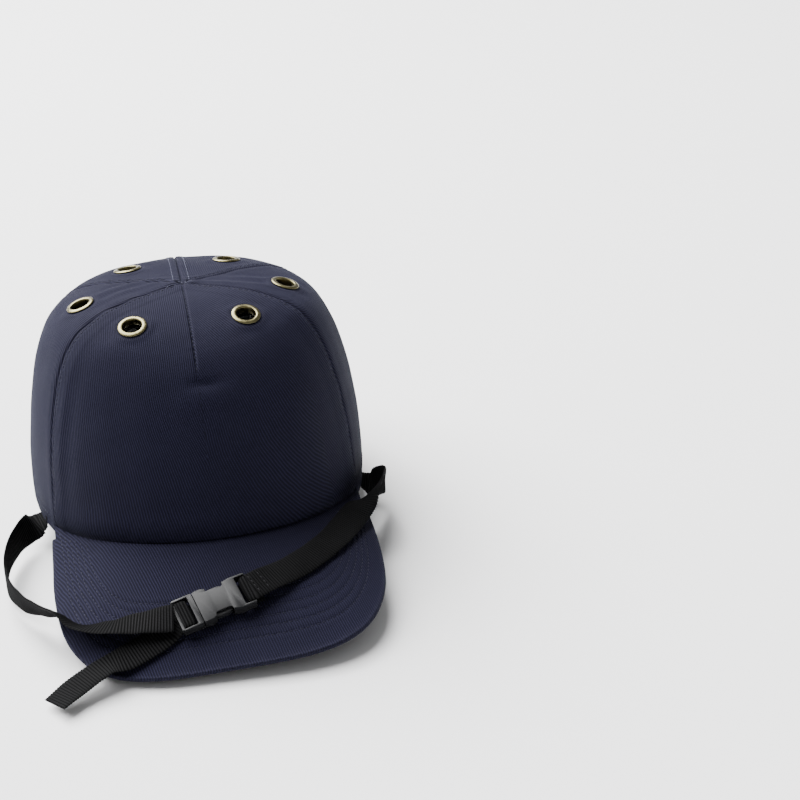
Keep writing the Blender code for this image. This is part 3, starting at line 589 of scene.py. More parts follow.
def webbing_look(name, base):
    m = Look(name, Sheen_Weight=0.01, Sheen_Roughness=0.4, Sheen_Tint=(0.8, 0.8, 0.85, 1.0), Specular_IOR_Level=0.2, IOR=1.12)
    uv, at = m.uv(), m.place()
    warp = m.math("MULTIPLY_ADD", m.math("SINE", m.math("ADD", m.dot(uv, (9.4, 0, 0)), m.math("MULTIPLY", m.noise(uv, 0.8, 2.0), 2.5))), 0.5, 0.5)
    weft = m.math("MULTIPLY_ADD", m.math("SINE", m.dot(uv, (0, 2 * math.pi / WEB_RIB, 0))), 0.5, 0.5)
    yarn = m.noise(m.scaled(uv, (1.0, 0.3, 1.0)), 4.0, 3.0, 0.65)
    h = m.math("ADD", m.math("MULTIPLY", warp, 0.25), m.math("ADD", m.math("MULTIPLY", weft, 0.52), m.math("MULTIPLY", yarn, 0.40)))
    c = m.ramp(h, [(0.22, times(base, 0.22)), (0.6, base), (1.0, times(base, 2.6))])
    c = m.mix(m.range(m.noise(at, 55.0, 3.0), 0.3, 0.7, 0.0, 0.35), c, times(base, 0.6))
    c = m.mix(m.range(m.noise(uv, 2.0, 4.0, 0.8), 0.70, 0.80, 0.0, 0.20), c, times(base, 6.0))
    m.colour(c)
    m.rough(m.range(h, 0.2, 0.9, 0.82, 0.58))
    m.normal(m.bump(h, 0.6, 0.00022))
    return m.m


def plain_weave(name, base, pitch=0.7):
    m = Look(name, Sheen_Weight=0.03, Sheen_Roughness=0.5, Sheen_Tint=(0.8, 0.82, 0.9, 1.0), Specular_IOR_Level=0.12)
    uv, at = m.uv(), m.place()
    w = 2 * math.pi / pitch
    wob_ = m.math("MULTIPLY", m.noise(uv, 1.2, 2.0), 1.6)
    a = m.math("SINE", m.math("ADD", m.dot(uv, (w, 0, 0)), wob_))
    b = m.math("SINE", m.math("ADD", m.dot(uv, (0, w, 0)), wob_))
    h = m.math("ADD", m.math("MULTIPLY_ADD", m.math("MULTIPLY", a, b), 0.35, 0.4), m.math("MULTIPLY", m.noise(uv, 2.6, 3.0, 0.7), 0.35))
    c = m.ramp(h, [(0.15, times(base, 0.5)), (0.6, base), (1.0, times(base, 1.8))])
    c = m.mix(m.range(m.noise(at, 40.0, 4.0), 0.3, 0.7, 0.0, 0.4), c, times(base, 0.55))
    c = m.mix(m.range(m.noise(at, 1300.0, 2.0, 0.8), 0.70, 0.78, 0.0, 0.25), c, times(base, 5.0))
    m.colour(c)
    m.rough(m.range(h, 0.2, 0.9, 0.95, 0.8))
    m.normal(m.bump(h, 0.5, 0.00018))
    return m.m


def gloss_shell(name, base):
    m = Look(name, Specular_IOR_Level=0.5, Coat_Weight=0.35, Coat_Roughness=0.12)
    at = m.place()
    cloud = m.noise(at, 14.0, 3.0)
    fine = m.noise(at, 160.0, 4.0, 0.6)
    scuff = m.range(m.noise(m.scaled(at, (1.0, 6.0, 3.0)), 60.0, 5.0, 0.75, 0.6), 0.60, 0.72, 0.0, 1.0)
    c = m.mix(m.range(fine, 0.3, 0.7), times(base, 0.7), times(base, 1.4))
    c = m.mix(m.math("MULTIPLY", scuff, 0.18), c, times(base, 6.0))
    m.colour(c)
    m.rough(m.math("ADD", m.range(cloud, 0.3, 0.7, 0.13, 0.24), m.math("MULTIPLY", scuff, 0.14)))
    m.normal(m.bump(m.noise(at, 22.0, 2.0), 0.12, 0.004, m.bump(m.noise(at, 300.0, 2.0), 0.06, 0.0004)))
    return m.m


def eva_foam(name, base):
    m = Look(name, Specular_IOR_Level=0.25, Sheen_Weight=0.03, Sheen_Roughness=0.6)
    at = m.place()
    pore = m.cells(at, 1500.0)
    n = m.noise(at, 700.0, 4.0, 0.7)
    c = m.mix(m.range(n, 0.3, 0.7), times(base, 0.6), times(base, 1.35))
    c = m.mix(m.range(m.noise(at, 30.0, 3.0), 0.35, 0.7, 0.0, 0.4), c, times(base, 1.6))
    c = m.mix(m.range(pore, 0.0, 0.32, 0.55, 0.0), c, times(base, 0.35))
    m.colour(c)
    m.rough(m.range(n, 0.3, 0.7, 0.95, 0.78))
    m.normal(m.bump(m.math("ADD", pore, m.math("MULTIPLY", n, 0.8)), 0.35, 0.00025))
    return m.m


def moulded(name, base, rough=0.4):
    m = Look(name, Specular_IOR_Level=0.19)
    at = m.place()
    grain = m.noise(at, 1600.0, 3.0, 0.6)
    tone = m.noise(at, 120.0, 4.0)
    scuff = m.range(m.noise(m.scaled(at, (5.0, 1.0, 2.0)), 260.0, 5.0, 0.8, 0.5), 0.62, 0.72)
    c = m.mix(m.range(tone, 0.3, 0.7), times(base, 0.8), times(base, 1.25))
    c = m.mix(m.math("MULTIPLY", scuff, 0.35), c, times(base, 2.6))
    m.colour(c)
    m.rough(m.math("ADD", m.range(grain, 0.3, 0.7, rough - 0.06, rough + 0.08), m.math("MULTIPLY", scuff, 0.12)))
    m.normal(m.bump(grain, 0.16, 0.00012, m.bump(tone, 0.10, 0.0005)))
    return m.m


def antique_brass(name, base):
    m = Look(name, Metallic=1.0)
    at = m.place()
    tone = m.noise(at, 220.0, 4.0, 0.6)
    spot = m.range(m.noise(at, 520.0, 4.0, 0.7), 0.56, 0.72)
    turned = m.noise(m.scaled(at, (1.0, 1.0, 1.0)), 2400.0, 2.0)
    c = m.mix(m.range(tone, 0.3, 0.7), times(base, 0.78), times(base, 1.10))
    c = m.mix(m.math("MULTIPLY", spot, 0.5), c, (base[0] * 0.45, base[1] * 0.38, base[2] * 0.30))
    m.colour(c)
    m.rough(m.math("ADD", m.range(tone, 0.3, 0.7, 0.24, 0.38), m.math("MULTIPLY", spot, 0.2)))
    m.normal(m.bump(turned, 0.12, 0.0001, m.bump(tone, 0.18, 0.0005)))
    return m.m


def board_look(name, base):
    m = Look(name, Specular_IOR_Level=0.12)
    at = m.place()
    n = m.noise(at, 240.0, 4.0)
    m.colour(m.mix(m.range(n, 0.3, 0.7), times(base, 0.7), times(base, 1.3)))
    m.rough(m.range(n, 0.3, 0.7, 0.45, 0.65))
    m.normal(m.bump(n, 0.2, 0.0003))
    return m.m


def fuzz(name, base, scale=1500.0):
    m = Look(name, Sheen_Weight=0.08, Sheen_Roughness=0.5, Sheen_Tint=(0.7, 0.75, 0.95, 1.0), Specular_IOR_Level=0.2)
    at = m.place()
    loops = m.cells(at, scale)
    n = m.noise(at, scale * 0.8, 4.0, 0.75, 1.2)
    h = m.math("ADD", m.range(loops, 0.0, 0.6, 1.0, 0.0), m.math("MULTIPLY", n, 0.8))
    c = m.ramp(h, [(0.35, times(base, 0.3)), (0.8, base), (1.0, times(base, 2.6))])
    m.colour(m.mix(m.range(m.noise(at, 90.0, 3.0), 0.35, 0.7, 0.0, 0.4), c, times(base, 0.6)))
    m.rough(m.range(n, 0.3, 0.7, 0.95, 0.8))
    m.normal(m.bump(h, 0.8, 0.0005))
    return m.m


WEB_RIB = 1.5
NAVY = (0.0070, 0.0068, 0.0158)
MATS = {
    "navy_twill": twill("navy_twill", NAVY),
    "navy_tape": twill("navy_tape", times(NAVY, 0.9), pitch=0.8, worn=False),
    "thread_navy": thread("thread_navy", (0.0155, 0.0155, 0.029)),
    "thread_pale": thread("thread_pale", (0.085, 0.088, 0.130)),
    "thread_black": thread("thread_black", (0.016, 0.016, 0.018)),
    "black_abs": gloss_shell("black_abs", (0.0065, 0.0065, 0.0075)),
    "black_foam": eva_foam("black_foam", (0.014, 0.014, 0.0148)),
    "black_band": plain_weave("black_band", (0.0085, 0.0085, 0.0090)),
    "black_webbing": webbing_look("black_webbing", (0.0052, 0.0052, 0.0055)),
    "buckle_plastic": moulded("buckle_plastic", (0.0105, 0.0107, 0.0118), 0.38),
    "brass": antique_brass("brass", (0.165, 0.147, 0.075)),
    "visor_board": board_look("visor_board", (0.0075, 0.0075, 0.0150)),
    "hook_loop": fuzz("hook_loop", (0.010, 0.011, 0.024)),
}


# ------------------------------------------------------------------ meshes
PIECES = []


def signed_volume(V, F):
    F = np.asarray([f[:3] for f in F] + [(f[0], f[2], f[3]) for f in F if len(f) == 4] +
                   [(f[0], f[i], f[i + 1]) for f in F if len(f) > 4 for i in range(2, len(f) - 1)])
    a, b, c = V[F[:, 0]], V[F[:, 1]], V[F[:, 2]]
    return float(np.einsum("ij,ij->i", a, np.cross(b, c)).sum())


def build(name, V, F, look, uv=None, attrs=None, angle=50.0, replaces=(), body="cap"):
    """A closed piece from points in the cap frame, turned outward, riding on body."""
    V = np.asarray(V, float)
    used = np.zeros(len(V), bool)
    used[np.array([i for f in F for i in f])] = True
    if not used.all():
        new = np.cumsum(used) - 1
        F = [[new[i] for i in f] for f in F]
        V = V[used]
        uv = None if uv is None else uv[used]
        attrs = {k: a[used] for k, a in (attrs or {}).items()}
    W = world(V)
    if signed_volume(W - W.mean(0), F) < 0:
        F = [f[::-1] for f in F]
    me = bpy.data.meshes.new(name)
    me.from_pydata([tuple(p) for p in W], [], [tuple(int(i) for i in f) for f in F])
    me.validate()
    if uv is not None:
        layer = me.uv_layers.new(name="weave")
        vi = np.zeros(len(me.loops), np.int32)
        me.loops.foreach_get("vertex_index", vi)
        layer.data.foreach_set("uv", uv[vi].astype(np.float32).ravel())
    for k, a in (attrs or {}).items():
        at = me.attributes.new(k, "FLOAT", "POINT")
        at.data.foreach_set("value", a.astype(np.float32))
    me.shade_smooth()
    me.set_sharp_from_angle(angle=math.radians(angle))
    me.materials.append(MATS[look])
    ob = bpy.data.objects.new(name, me)
    bpy.context.scene.collection.objects.link(ob)
    if body:
        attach(ob, body)
    if replaces:
        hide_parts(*replaces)
    PIECES.append(ob)
    return ob


def edges_open(F):
    E = np.concatenate([F[:, [i, (i + 1) % 4]] for i in range(4)])
    n = int(F.max()) + 1
    key, rev = E[:, 0].astype(np.int64) * n + E[:, 1], E[:, 1].astype(np.int64) * n + E[:, 0]
    return E[~np.isin(key, rev)]


def grid_faces(nv, nu, wrap=False):
    idx = np.arange(nv * nu).reshape(nv, nu)
    right = np.roll(idx, -1, 1)
    q = np.stack([idx[:-1], right[:-1], right[1:], idx[1:]], -1)
    if not wrap:
        q = q[:, :-1]
    return q.reshape(-1, 4)


def thick(P, Q, F):
    """Closed body between two point grids that share the faces F."""
    n = P.reshape(-1, 3).shape[0]
    B = edges_open(F)
    side = np.stack([B[:, 1], B[:, 0], B[:, 0] + n, B[:, 1] + n], -1)
    V = np.vstack([P.reshape(-1, 3), Q.reshape(-1, 3)])
    return V, np.vstack([F, F[:, ::-1] + n, side]).tolist()


def spaced(a, b, marks, fine, coarse, reach):
    """Positions from a to b, close together near the marks."""
    x = np.linspace(a, b, 6000)
    d = np.min([np.abs(x - m) for m in marks], axis=0)
    k = np.clip(d / reach, 0, 1)
    step = fine + (coarse - fine) * k * k * (3 - 2 * k)
    c = np.r_[0, np.cumsum((x[1] - x[0]) / step[1:])]
    n = max(8, int(math.ceil(c[-1])))
    return np.interp(np.linspace(0, c[-1], n + 1), c, x)


def step_up(x):
    x = np.clip(x, 0, 1)
    return x * x * (3 - 2 * x)


def wob(P, size, seed, octaves=7):
    """Smooth seeded wandering between about -1 and 1, features of the given size in mm."""
    rng = np.random.default_rng(seed)
    out = np.zeros(P.shape[:-1])
    for _ in range(octaves):
        d = rng.normal(size=3)
        d = d / np.linalg.norm(d) * 2 * math.pi / (size * rng.uniform(0.75, 1.5))
        out = out + np.sin(P @ d + rng.uniform(0, 7))
    return out / math.sqrt(octaves) / 1.1


def bell(x, w):
    return np.exp(-(x / w) ** 2)


def tube(rings, caps=True):
    """Closed body through equal rings; rings is (n, m, 3)."""
    n, m = rings.shape[:2]
    F = grid_faces(n, m, wrap=True).tolist()
    if caps:
        F.append(list(range(m))[::-1])
        F.append(list(range((n - 1) * m, n * m)))
    return rings.reshape(-1, 3), F


def revolve(outline, steps=64):
    """Closed ring body from an outline of (radius, height), about Z."""
    o = np.array(outline, float)
    a = np.linspace(0, 2 * math.pi, steps, endpoint=False)
    R = np.stack([o[None, :, 0] * np.cos(a)[:, None], o[None, :, 0] * np.sin(a)[:, None], np.tile(o[:, 1], (steps, 1))], -1)
    n, m = R.shape[:2]
    idx = np.arange(n * m).reshape(n, m)
    down, right = np.roll(idx, -1, 0), np.roll(idx, -1, 1)
    q = np.stack([idx, right, np.roll(down, -1, 1), down], -1).reshape(-1, 4)
    return R.reshape(-1, 3), q.tolist()


def round_outline(points, n, loops=2):
    """Chaikin rounding of a closed outline."""
    o = np.array(points, float)
    for _ in range(loops):
        nxt = np.roll(o, -1, 0)
        o = np.stack([o * 0.75 + nxt * 0.25, o * 0.25 + nxt * 0.75], 1).reshape(-1, o.shape[1])
    return o


def polyline(P, N, step):
    L = np.r_[0, np.cumsum(np.linalg.norm(np.diff(P, axis=0), axis=1))]
    at = np.arange(0, L[-1], step)
    return (np.stack([np.interp(at, L, P[:, i]) for i in range(3)], -1),
            unit(np.stack([np.interp(at, L, N[:, i]) for i in range(3)], -1)), L[-1])


THREADS = {}


def sew(group, P, N, pitch=2.9, gap=0.75, r=0.21, lift=0.02, seed=1, start=0.0):
    """A row of stitches lying on the cloth along P, whose outward normals are N."""
    P, N = np.asarray(P, float), np.asarray(N, float)
    L = np.r_[0, np.cumsum(np.linalg.norm(np.diff(P, axis=0), axis=1))]
    if L[-1] < pitch:
        return
    rng = np.random.default_rng(seed)
    count = int((L[-1] - start) / pitch)
    q = np.array([-1, -0.78, -0.3, 0.3, 0.78, 1.0])
    ang = np.linspace(0, 2 * math.pi, 6, endpoint=False)
    for i in range(count):
        a = start + i * pitch + gap / 2 + rng.uniform(-0.08, 0.08)
        b = a + pitch - gap
        at = a + (q + 1) / 2 * (b - a)
        c = np.stack([np.interp(at, L, P[:, k]) for k in range(3)], -1)
        n = unit(np.stack([np.interp(at, L, N[:, k]) for k in range(3)], -1))
        t = unit(np.gradient(c, axis=0))
        s = np.cross(t, n)
        c = c + n * (lift + r * 0.75 * (1 - q ** 2) - r * 1.1 * np.abs(q) ** 6)[:, None] + s * rng.uniform(-0.07, 0.07)
        rad = r * np.sqrt(np.clip(1 - 0.88 * np.abs(q) ** 5, 0.05, 1))
        ring = c[:, None] + (s[:, None] * np.cos(ang)[None, :, None] + n[:, None] * np.sin(ang)[None, :, None]) * rad[:, None, None]
        THREADS.setdefault(group, []).append(ring)


def finish_threads(group, name, look, body="cap"):
    rings = np.array(THREADS.pop(group))
    k, n, m = rings.shape[:3]
    base = grid_faces(n, m, wrap=True)
    F = (base[None] + (np.arange(k) * n * m)[:, None, None]).reshape(-1, 4).tolist()
    for i in range(k):
        F.append([i * n * m + j for j in range(m)][::-1])
        F.append([i * n * m + (n - 1) * m + j for j in range(m)])
    uv = np.stack([np.tile(np.repeat(np.arange(n) * 0.5, m), k), np.tile(np.arange(m) * 0.22, k * n)], -1)
    return build(name, rings.reshape(-1, 3), F, look, uv=uv, body=body, angle=80)


# ------------------------------------------------------------------ crown cloth
def radius_of(P):
    return np.hypot(P[..., 0], P[..., 1] - APEX_SHIFT)


def t_of(phi, v):
    n = profile_exp(phi)
    al = np.clip(v, 0, 1) * math.pi / 2
    c, s = np.cos(al), np.sin(al)
    rho = np.clip((c ** n + s ** n) ** (-1 / n) * c, 0, 1)
    return np.arccos(np.clip(rho ** (n / 2), 0, 1)) * 2 / math.pi


_v = np.linspace(0, 1, 1500)


def meridian(phi):
    """Arc length up the crown at phi, as a function of v."""
    p = crown_raw(np.full(_v.shape, phi), _v)
    return np.r_[0, np.cumsum(np.linalg.norm(np.diff(p, axis=0), axis=1))]


ARC = {a: meridian(math.radians(a)) for a in (0.0, SEAM_FRONT, 88.0, SEAM_BACK, 146.0, 180.0)}
ARC_AT = sorted(ARC)


def up_of(phi, v):
    a = np.degrees(np.abs(phi))
    table = np.stack([np.interp(v, _v, ARC[k]) for k in ARC_AT], 0)
    i = np.clip(np.searchsorted(ARC_AT, a) - 1, 0, len(ARC_AT) - 2)
    k = (a - np.array(ARC_AT)[i]) / (np.array(ARC_AT)[i + 1] - np.array(ARC_AT)[i])
    lo_, hi_ = np.take_along_axis(table, i[None], 0)[0], np.take_along_axis(table, i[None] + 1, 0)[0]
    return lo_ * (1 - k) + hi_ * k


DART_T = 0.534
DART_UP = float(np.interp(v_of_t(np.array(0.0), DART_T), _v, ARC[0.0]))

SEATS = {}
for where, deg, t in EYELETS:
    for side, sign in (("left", 1), ("right", -1)):
        phi = np.array(math.radians(deg) * sign)
        v = v_of_t(phi, t)
        p, n = crown_raw(phi, v), crown_normal(phi, v)
        y = unit(np.cross(np.cross(n, (0, 1.0, 0)), n))
        SEATS[where + "_" + side] = (p, np.cross(y, n), y, n)


def puncture(P, R0, R1, R2):
    """Opens round holes at the eyelets: what lay within R0 is dropped, and R0..R2 is pushed out to R1..R2."""
    P = P.copy()
    near = np.full(P.shape[:-1], 1e3)
    for p, x, y, n in SEATS.values():
        d = P - p
        a, b, c = d @ x, d @ y, d @ n
        r = np.hypot(a, b)
        ok = (np.abs(c) < 12) & (r < R2)
        r2 = R1 + np.clip(r - R0, 0, None) * (R2 - R1) / (R2 - R0)
        k = np.where(ok, r2 / np.maximum(r, 1e-6), 1.0)
        bend = np.where(ok, c * (k ** 2 - 1) * 0.6, 0.0)
        P = P + np.where(ok, a * (k - 1), 0)[..., None] * x + np.where(ok, b * (k - 1), 0)[..., None] * y + bend[..., None] * n * 0.0
        near = np.where(np.abs(c) < 12, np.minimum(near, r), near)
    return P, near


def relief(phi, v, P):
    """How far the cloth stands proud of its plain surface, and how worn it looks."""
    a = np.abs(phi)
    sg = np.sign(phi)
    r = np.maximum(radius_of(P), 0.5)
    up = up_of(phi, v)
    t = t_of(phi, v)
    deg = np.degrees(a)
    out = 0.30 * wob(P, 60, 3) + 0.14 * wob(P, 26, 5)
    wear = np.zeros(P.shape[:-1])
    side = step_up((deg - 66) / 14)
    out = out + side * (0.30 * wob(P * np.array([1, 1, 0.55]), 34, 8))
    for k, at in enumerate((SEAM_FRONT, SEAM_BACK, 180.0)):
        d = (a - math.radians(at)) * r
        ripple = wob(np.stack([up * 1.0 + sg * 90, d * 0.25, up * 0 + k * 37], -1), 8.5, 11 + k)
        out = out - (0.72, 0.55, 0.80)[k] * bell(d, 0.8) + 0.20 * bell(np.abs(d) - 3.6, 2.4) + 0.16 * ripple * np.exp(-np.abs(d) / 7)
        wear = wear + 0.8 * bell(np.abs(d) - 1.5, 0.8) * (0.55 + 0.45 * ripple)
    # seam allowance under the front panel's edge, and its row of stitches
    d = (a - math.radians(SEAM_FRONT)) * r
    inside = -d
    out = out + np.where(inside > 0, 0.30 * step_up(inside / 1.5) * (1 - step_up((inside - 8.5) / 3.0)), 0)
    out = out - 0.26 * bell(inside - 2.7, 0.6)
    # the two rows beside the centre-back seam
    db = (math.pi - a) * r
    out = out - 0.24 * bell(db - 5.2, 0.6) + 0.25 * (1 - step_up((db - 5.6) / 1.2)) * step_up(db / 1.2)
    # rear of the side seam
    ds = (a - math.radians(SEAM_BACK)) * r
    out = out - 0.2 * bell(ds - 2.7, 0.6)
    # folds lying behind the front seam, near the top
    high = step_up((t - 0.62) / 0.22) * (1 - 0.5 * step_up((t - 0.93) / 0.07))
    lean = d - 4 * np.sin(up / 17.0 + sg)
    folds = 0.62 * bell(lean - 7.5, 2.4) - 0.45 * bell(lean - 12.0, 2.2) + 0.50 * bell(lean - 17.5, 2.8) - 0.3 * bell(lean - 23, 3)
    out = out + high * folds * (deg > SEAM_FRONT) * (0.75 + 0.35 * wob(P, 30, 21))
    # the dart from the top down the middle of the front
    x = phi * r
    k = step_up((t - DART_T) / 0.06) * (a < 1.0)
    out = out + k * (-0.95 * bell(x, 0.75) + np.where(x > 0, 0.42 * step_up(x / 0.8) * np.exp(-np.clip(x, 0, None) / 9), 0.0)
                     + 0.10 * wob(np.stack([up, x * 0.3, up * 0], -1), 7, 31) * np.exp(-np.abs(x) / 4))
    wear = wear + k * 0.7 * bell(x - 1.0, 0.6)
    front = bell(np.clip(a - 0.9, 0, None), 0.15)
    y = up - DART_UP
    out = out + front * (-1.55 * bell(x - 4.0, 9.0) * bell(y + 4.0, 2.6) - 0.35 * bell(x, 2.2) * bell(y + 1.0, 3.5)
                         + 0.85 * bell(x - 5.0, 15.0) * bell(y + 12.5, 6.0))
    # the cloth rolls over the visor's joint
    h = P[..., 2] - rim(phi)
    joint = 1 - step_up((deg - 60) / 6)
    out = out + joint * (0.95 * bell(h - 9.0, 6.5) - 1.05 * bell(np.clip(h, 0, None) - 0.0, 2.0) - 0.4 * (h < 0))
    # rolled hem with its stitch line beside and behind
    hemmed = step_up((deg - 64) / 4)
    out = out + hemmed * (-0.45 * bell(h, 1.2) + 0.14 * bell(h - 4.5, 2.0) - 0.2 * bell(h - 8.0, 0.7)
                          + 0.22 * wob(np.stack([phi * 92, phi * 0, h * 0.3], -1), 16, 41) * bell(h - 5, 8))
    wear = wear + hemmed * 0.6 * bell(h - 0.8, 1.2)
    # a soft standing fold on the wearer's right, beside the front seam
    out = out + 0.55 * (sg < 0) * bell(d + 9.0, 4.0) * bell(up - 62, 38) - 0.35 * (sg < 0) * bell(d + 15.0, 4.5) * bell(up - 62, 38)
    # cloth gathered round the eyelets
    for i, (p, ex, ey, n) in enumerate(SEATS.values()):
        dv = P - p
        ea, eb, ec = dv @ ex, dv @ ey, dv @ n
        rr = np.where(np.abs(ec) < 12, np.hypot(ea, eb), 1e3)
        th = np.arctan2(eb, ea)
        out = out * step_up((rr - 7.0) / 6.0) + np.where(rr < 30, 0.30 * bell(rr - 9.6, 1.5) + 0.16 * np.sin(5 * th + i) * bell(rr - 12.0, 3.0)
                                                         - 0.10 * bell(rr, 7.5), 0.0)
        wear = wear + np.where(rr < 30, 0.7 * bell(rr - 8.8, 0.9), 0)
    core = step_up(r / 5.0)
    out = out * core - 0.7 * (1 - core)
    return np.clip(out, -1.9, 1.9), np.clip(wear, 0, 1)


def weave_uv(phi, v, P, front):
    r = radius_of(P)
    up = up_of(phi, v)
    if not front:
        mid = np.mean([phi.min(), phi.max()])
        U, V, lam = (phi - mid) * r, up, np.full(phi.shape, math.radians(20.0))
    else:
        k = step_up((t_of(phi, v) - DART_T + 0.3) / 0.3)
        s = np.sign(phi) * k + np.clip(phi / 0.8, -1, 1) * (1 - k)
        U, V, lam = phi * r, up - DART_UP, np.radians(17.0 + 17.0 * s)
    return np.stack([U * np.cos(lam) + V * np.sin(lam), -U * np.sin(lam) + V * np.cos(lam)], -1)


FINE = 1.0


def cloth_panel(name, p0, p1, node, marks):
    cols = np.radians(spaced(p0, p1, marks, 0.24 * FINE, 0.95 * FINE, 5.5))
    nv = int(150 / FINE)
    k = np.linspace(0, 1, nv)
    k = k + 0.035 * np.sin(math.pi * k) * np.cos(math.pi * k) * -1
    phi0 = np.tile(cols, (nv, 1))
    v0 = v_of_z(phi0, hem(phi0))
    v = v0 + (0.9985 - v0) * k[:, None]
    raw = crown_raw(phi0, v)
    r = np.maximum(radius_of(raw), 1.0)
    u = (phi0 - cols[0]) / (cols[-1] - cols[0])
    g = 0.5 * 0.16 / r
    phi = cols[0] + g + (cols[-1] - cols[0] - 2 * g) * u
    base = crown_raw(phi, v)
    N = crown_normal(phi, v)
    d, wear = relief(phi, v, base)
    F = grid_faces(nv, len(cols))
    P, near = puncture(base + N * d[..., None], 3.2, 6.15, 9.5)
    centre = near.reshape(-1)[F].mean(1)
    F = F[centre > 3.7]
    V, faces = thick(P, P - N * FABRIC, F)
    uv = weave_uv(phi, v, base, node == "front_panel").reshape(-1, 2)
    return build(name, V, faces, "navy_twill", uv=np.vstack([uv, uv + 0.3]), attrs={"wear": np.r_[wear.ravel(), wear.ravel() * 0]},
                 replaces=(node,))


def on_crown(phi, v, extra=0.0):
    """Point and normal on the finished cloth."""
    base, N = crown_raw(phi, v), crown_normal(phi, v)
    d, _ = relief(phi, v, base)
    return base + N * (d + extra)[..., None], N




# ------------------------------------------------------------------ crown pieces
def bake_mods(ob):
    dg = bpy.context.evaluated_depsgraph_get()
    me = bpy.data.meshes.new_from_object(ob.evaluated_get(dg), depsgraph=dg)
    ob.modifiers.clear()
    old = ob.data
    ob.data = me
    bpy.data.meshes.remove(old)
    return ob


def tool(V, F):
    me = bpy.data.meshes.new("tool")
    me.from_pydata([tuple(p) for p in world(np.asarray(V, float))], [], F)
    bm = bmesh.new()
    bm.from_mesh(me)
    bmesh.ops.recalc_face_normals(bm, faces=bm.faces)
    bm.to_mesh(me)
    bm.free()
    ob = bpy.data.objects.new("tool", me)
    bpy.context.scene.collection.objects.link(ob)
    ob.hide_render = True
    return ob


def carve(ob, tools, operation="DIFFERENCE"):
    bpy.context.view_layer.update()
    for t in tools:
        m = ob.modifiers.new("cut", "BOOLEAN")
        m.operation = operation
        m.solver = "EXACT"
        m.object = t
    bake_mods(ob)
    for t in tools:
        bpy.data.objects.remove(t, do_unlink=True)
    return ob


def arch_tool():
    a = np.linspace(0, math.pi, 49)
    out = [(OPEN_HALF * math.cos(x), OPEN_STRAIGHT + OPEN_RISE * math.sin(x)) for x in a] + [(-OPEN_HALF, -12.0), (OPEN_HALF, -12.0)]
    n = len(out)
    V = [(x, 60.0, z) for x, z in out] + [(x, 135.0, z) for x, z in out]
    F = [list(range(n)), list(range(n, 2 * n))[::-1]] + [[i, (i + 1) % n, n + (i + 1) % n, n + i] for i in range(n)]
    return tool(V, F)


cloth_panel("crown_front_cloth", -SEAM_FRONT, SEAM_FRONT, "front_panel", (-SEAM_FRONT, 0.0, SEAM_FRONT))
cloth_panel("crown_side_cloth_left", SEAM_FRONT, SEAM_BACK, "side_panel_left", (SEAM_FRONT, SEAM_BACK))
cloth_panel("crown_side_cloth_right", -SEAM_BACK, -SEAM_FRONT, "side_panel_right", (-SEAM_BACK, -SEAM_FRONT))
for side, a, b in (("left", SEAM_BACK, 180.0), ("right", -180.0, -SEAM_BACK)):
    ob = cloth_panel("crown_back_cloth_" + side, a, b, "back_panel_" + side, (a, b))
    carve(ob, [arch_tool()])

# stitching of the crown
vv = np.linspace(0.01, 0.975, 420)


def seam_row(group, deg, offset, seed, v_from=None, v_to=0.975, pitch=2.9, r=0.21):
    """A row that runs up the crown at a fixed distance in mm from the meridian at deg."""
    sgn = 1 if deg >= 0 else -1
    phi = np.full(vv.shape, math.radians(deg))
    v0 = float(v_of_z(np.array(math.radians(deg)), rim(np.array(math.radians(deg))) + 0.6)) if v_from is None else v_from
    v = v0 + (v_to - v0) * np.linspace(0, 1, 420)
    for _ in range(2):
        rr = np.maximum(radius_of(crown_raw(phi, v)), 2.2)
        phi = math.radians(deg) + offset / rr
    P, N = on_crown(phi, v)
    sew(group, P, N, pitch=pitch, r=r, seed=seed)


for sgn in (1, -1):
    seam_row("crown", sgn * SEAM_FRONT, -sgn * 2.7, 3 + sgn, v_to=0.965)
    seam_row("crown", sgn * SEAM_BACK, sgn * 2.7, 13 + sgn, v_to=0.955)
    seam_row("back", sgn * 180.0, -sgn * 5.2, 23 + sgn, v_from=float(v_of_z(np.array(math.pi), 54.0)), v_to=0.968, pitch=2.7)
# the dart's own edge stitching
phi = np.zeros(300)
v = np.linspace(float(v_of_t(np.array(0.0), DART_T + 0.015)), 0.955, 300)
rr = np.maximum(radius_of(crown_raw(phi, v)), 2.0)
P, N = on_crown(phi - 0.15 / rr, v)
sew("crown", P, N, pitch=3.4, gap=1.3, r=0.17, lift=0.1, seed=51)
# hem of the sides and back
for sgn in (1, -1):
    phi = sgn * np.radians(np.linspace(67, 158.5, 900))
    v = v_of_z(phi, hem(phi) + 8.0)
    P, N = on_crown(phi, v)
    sew("crown", P, N, pitch=3.0, seed=61 + sgn)
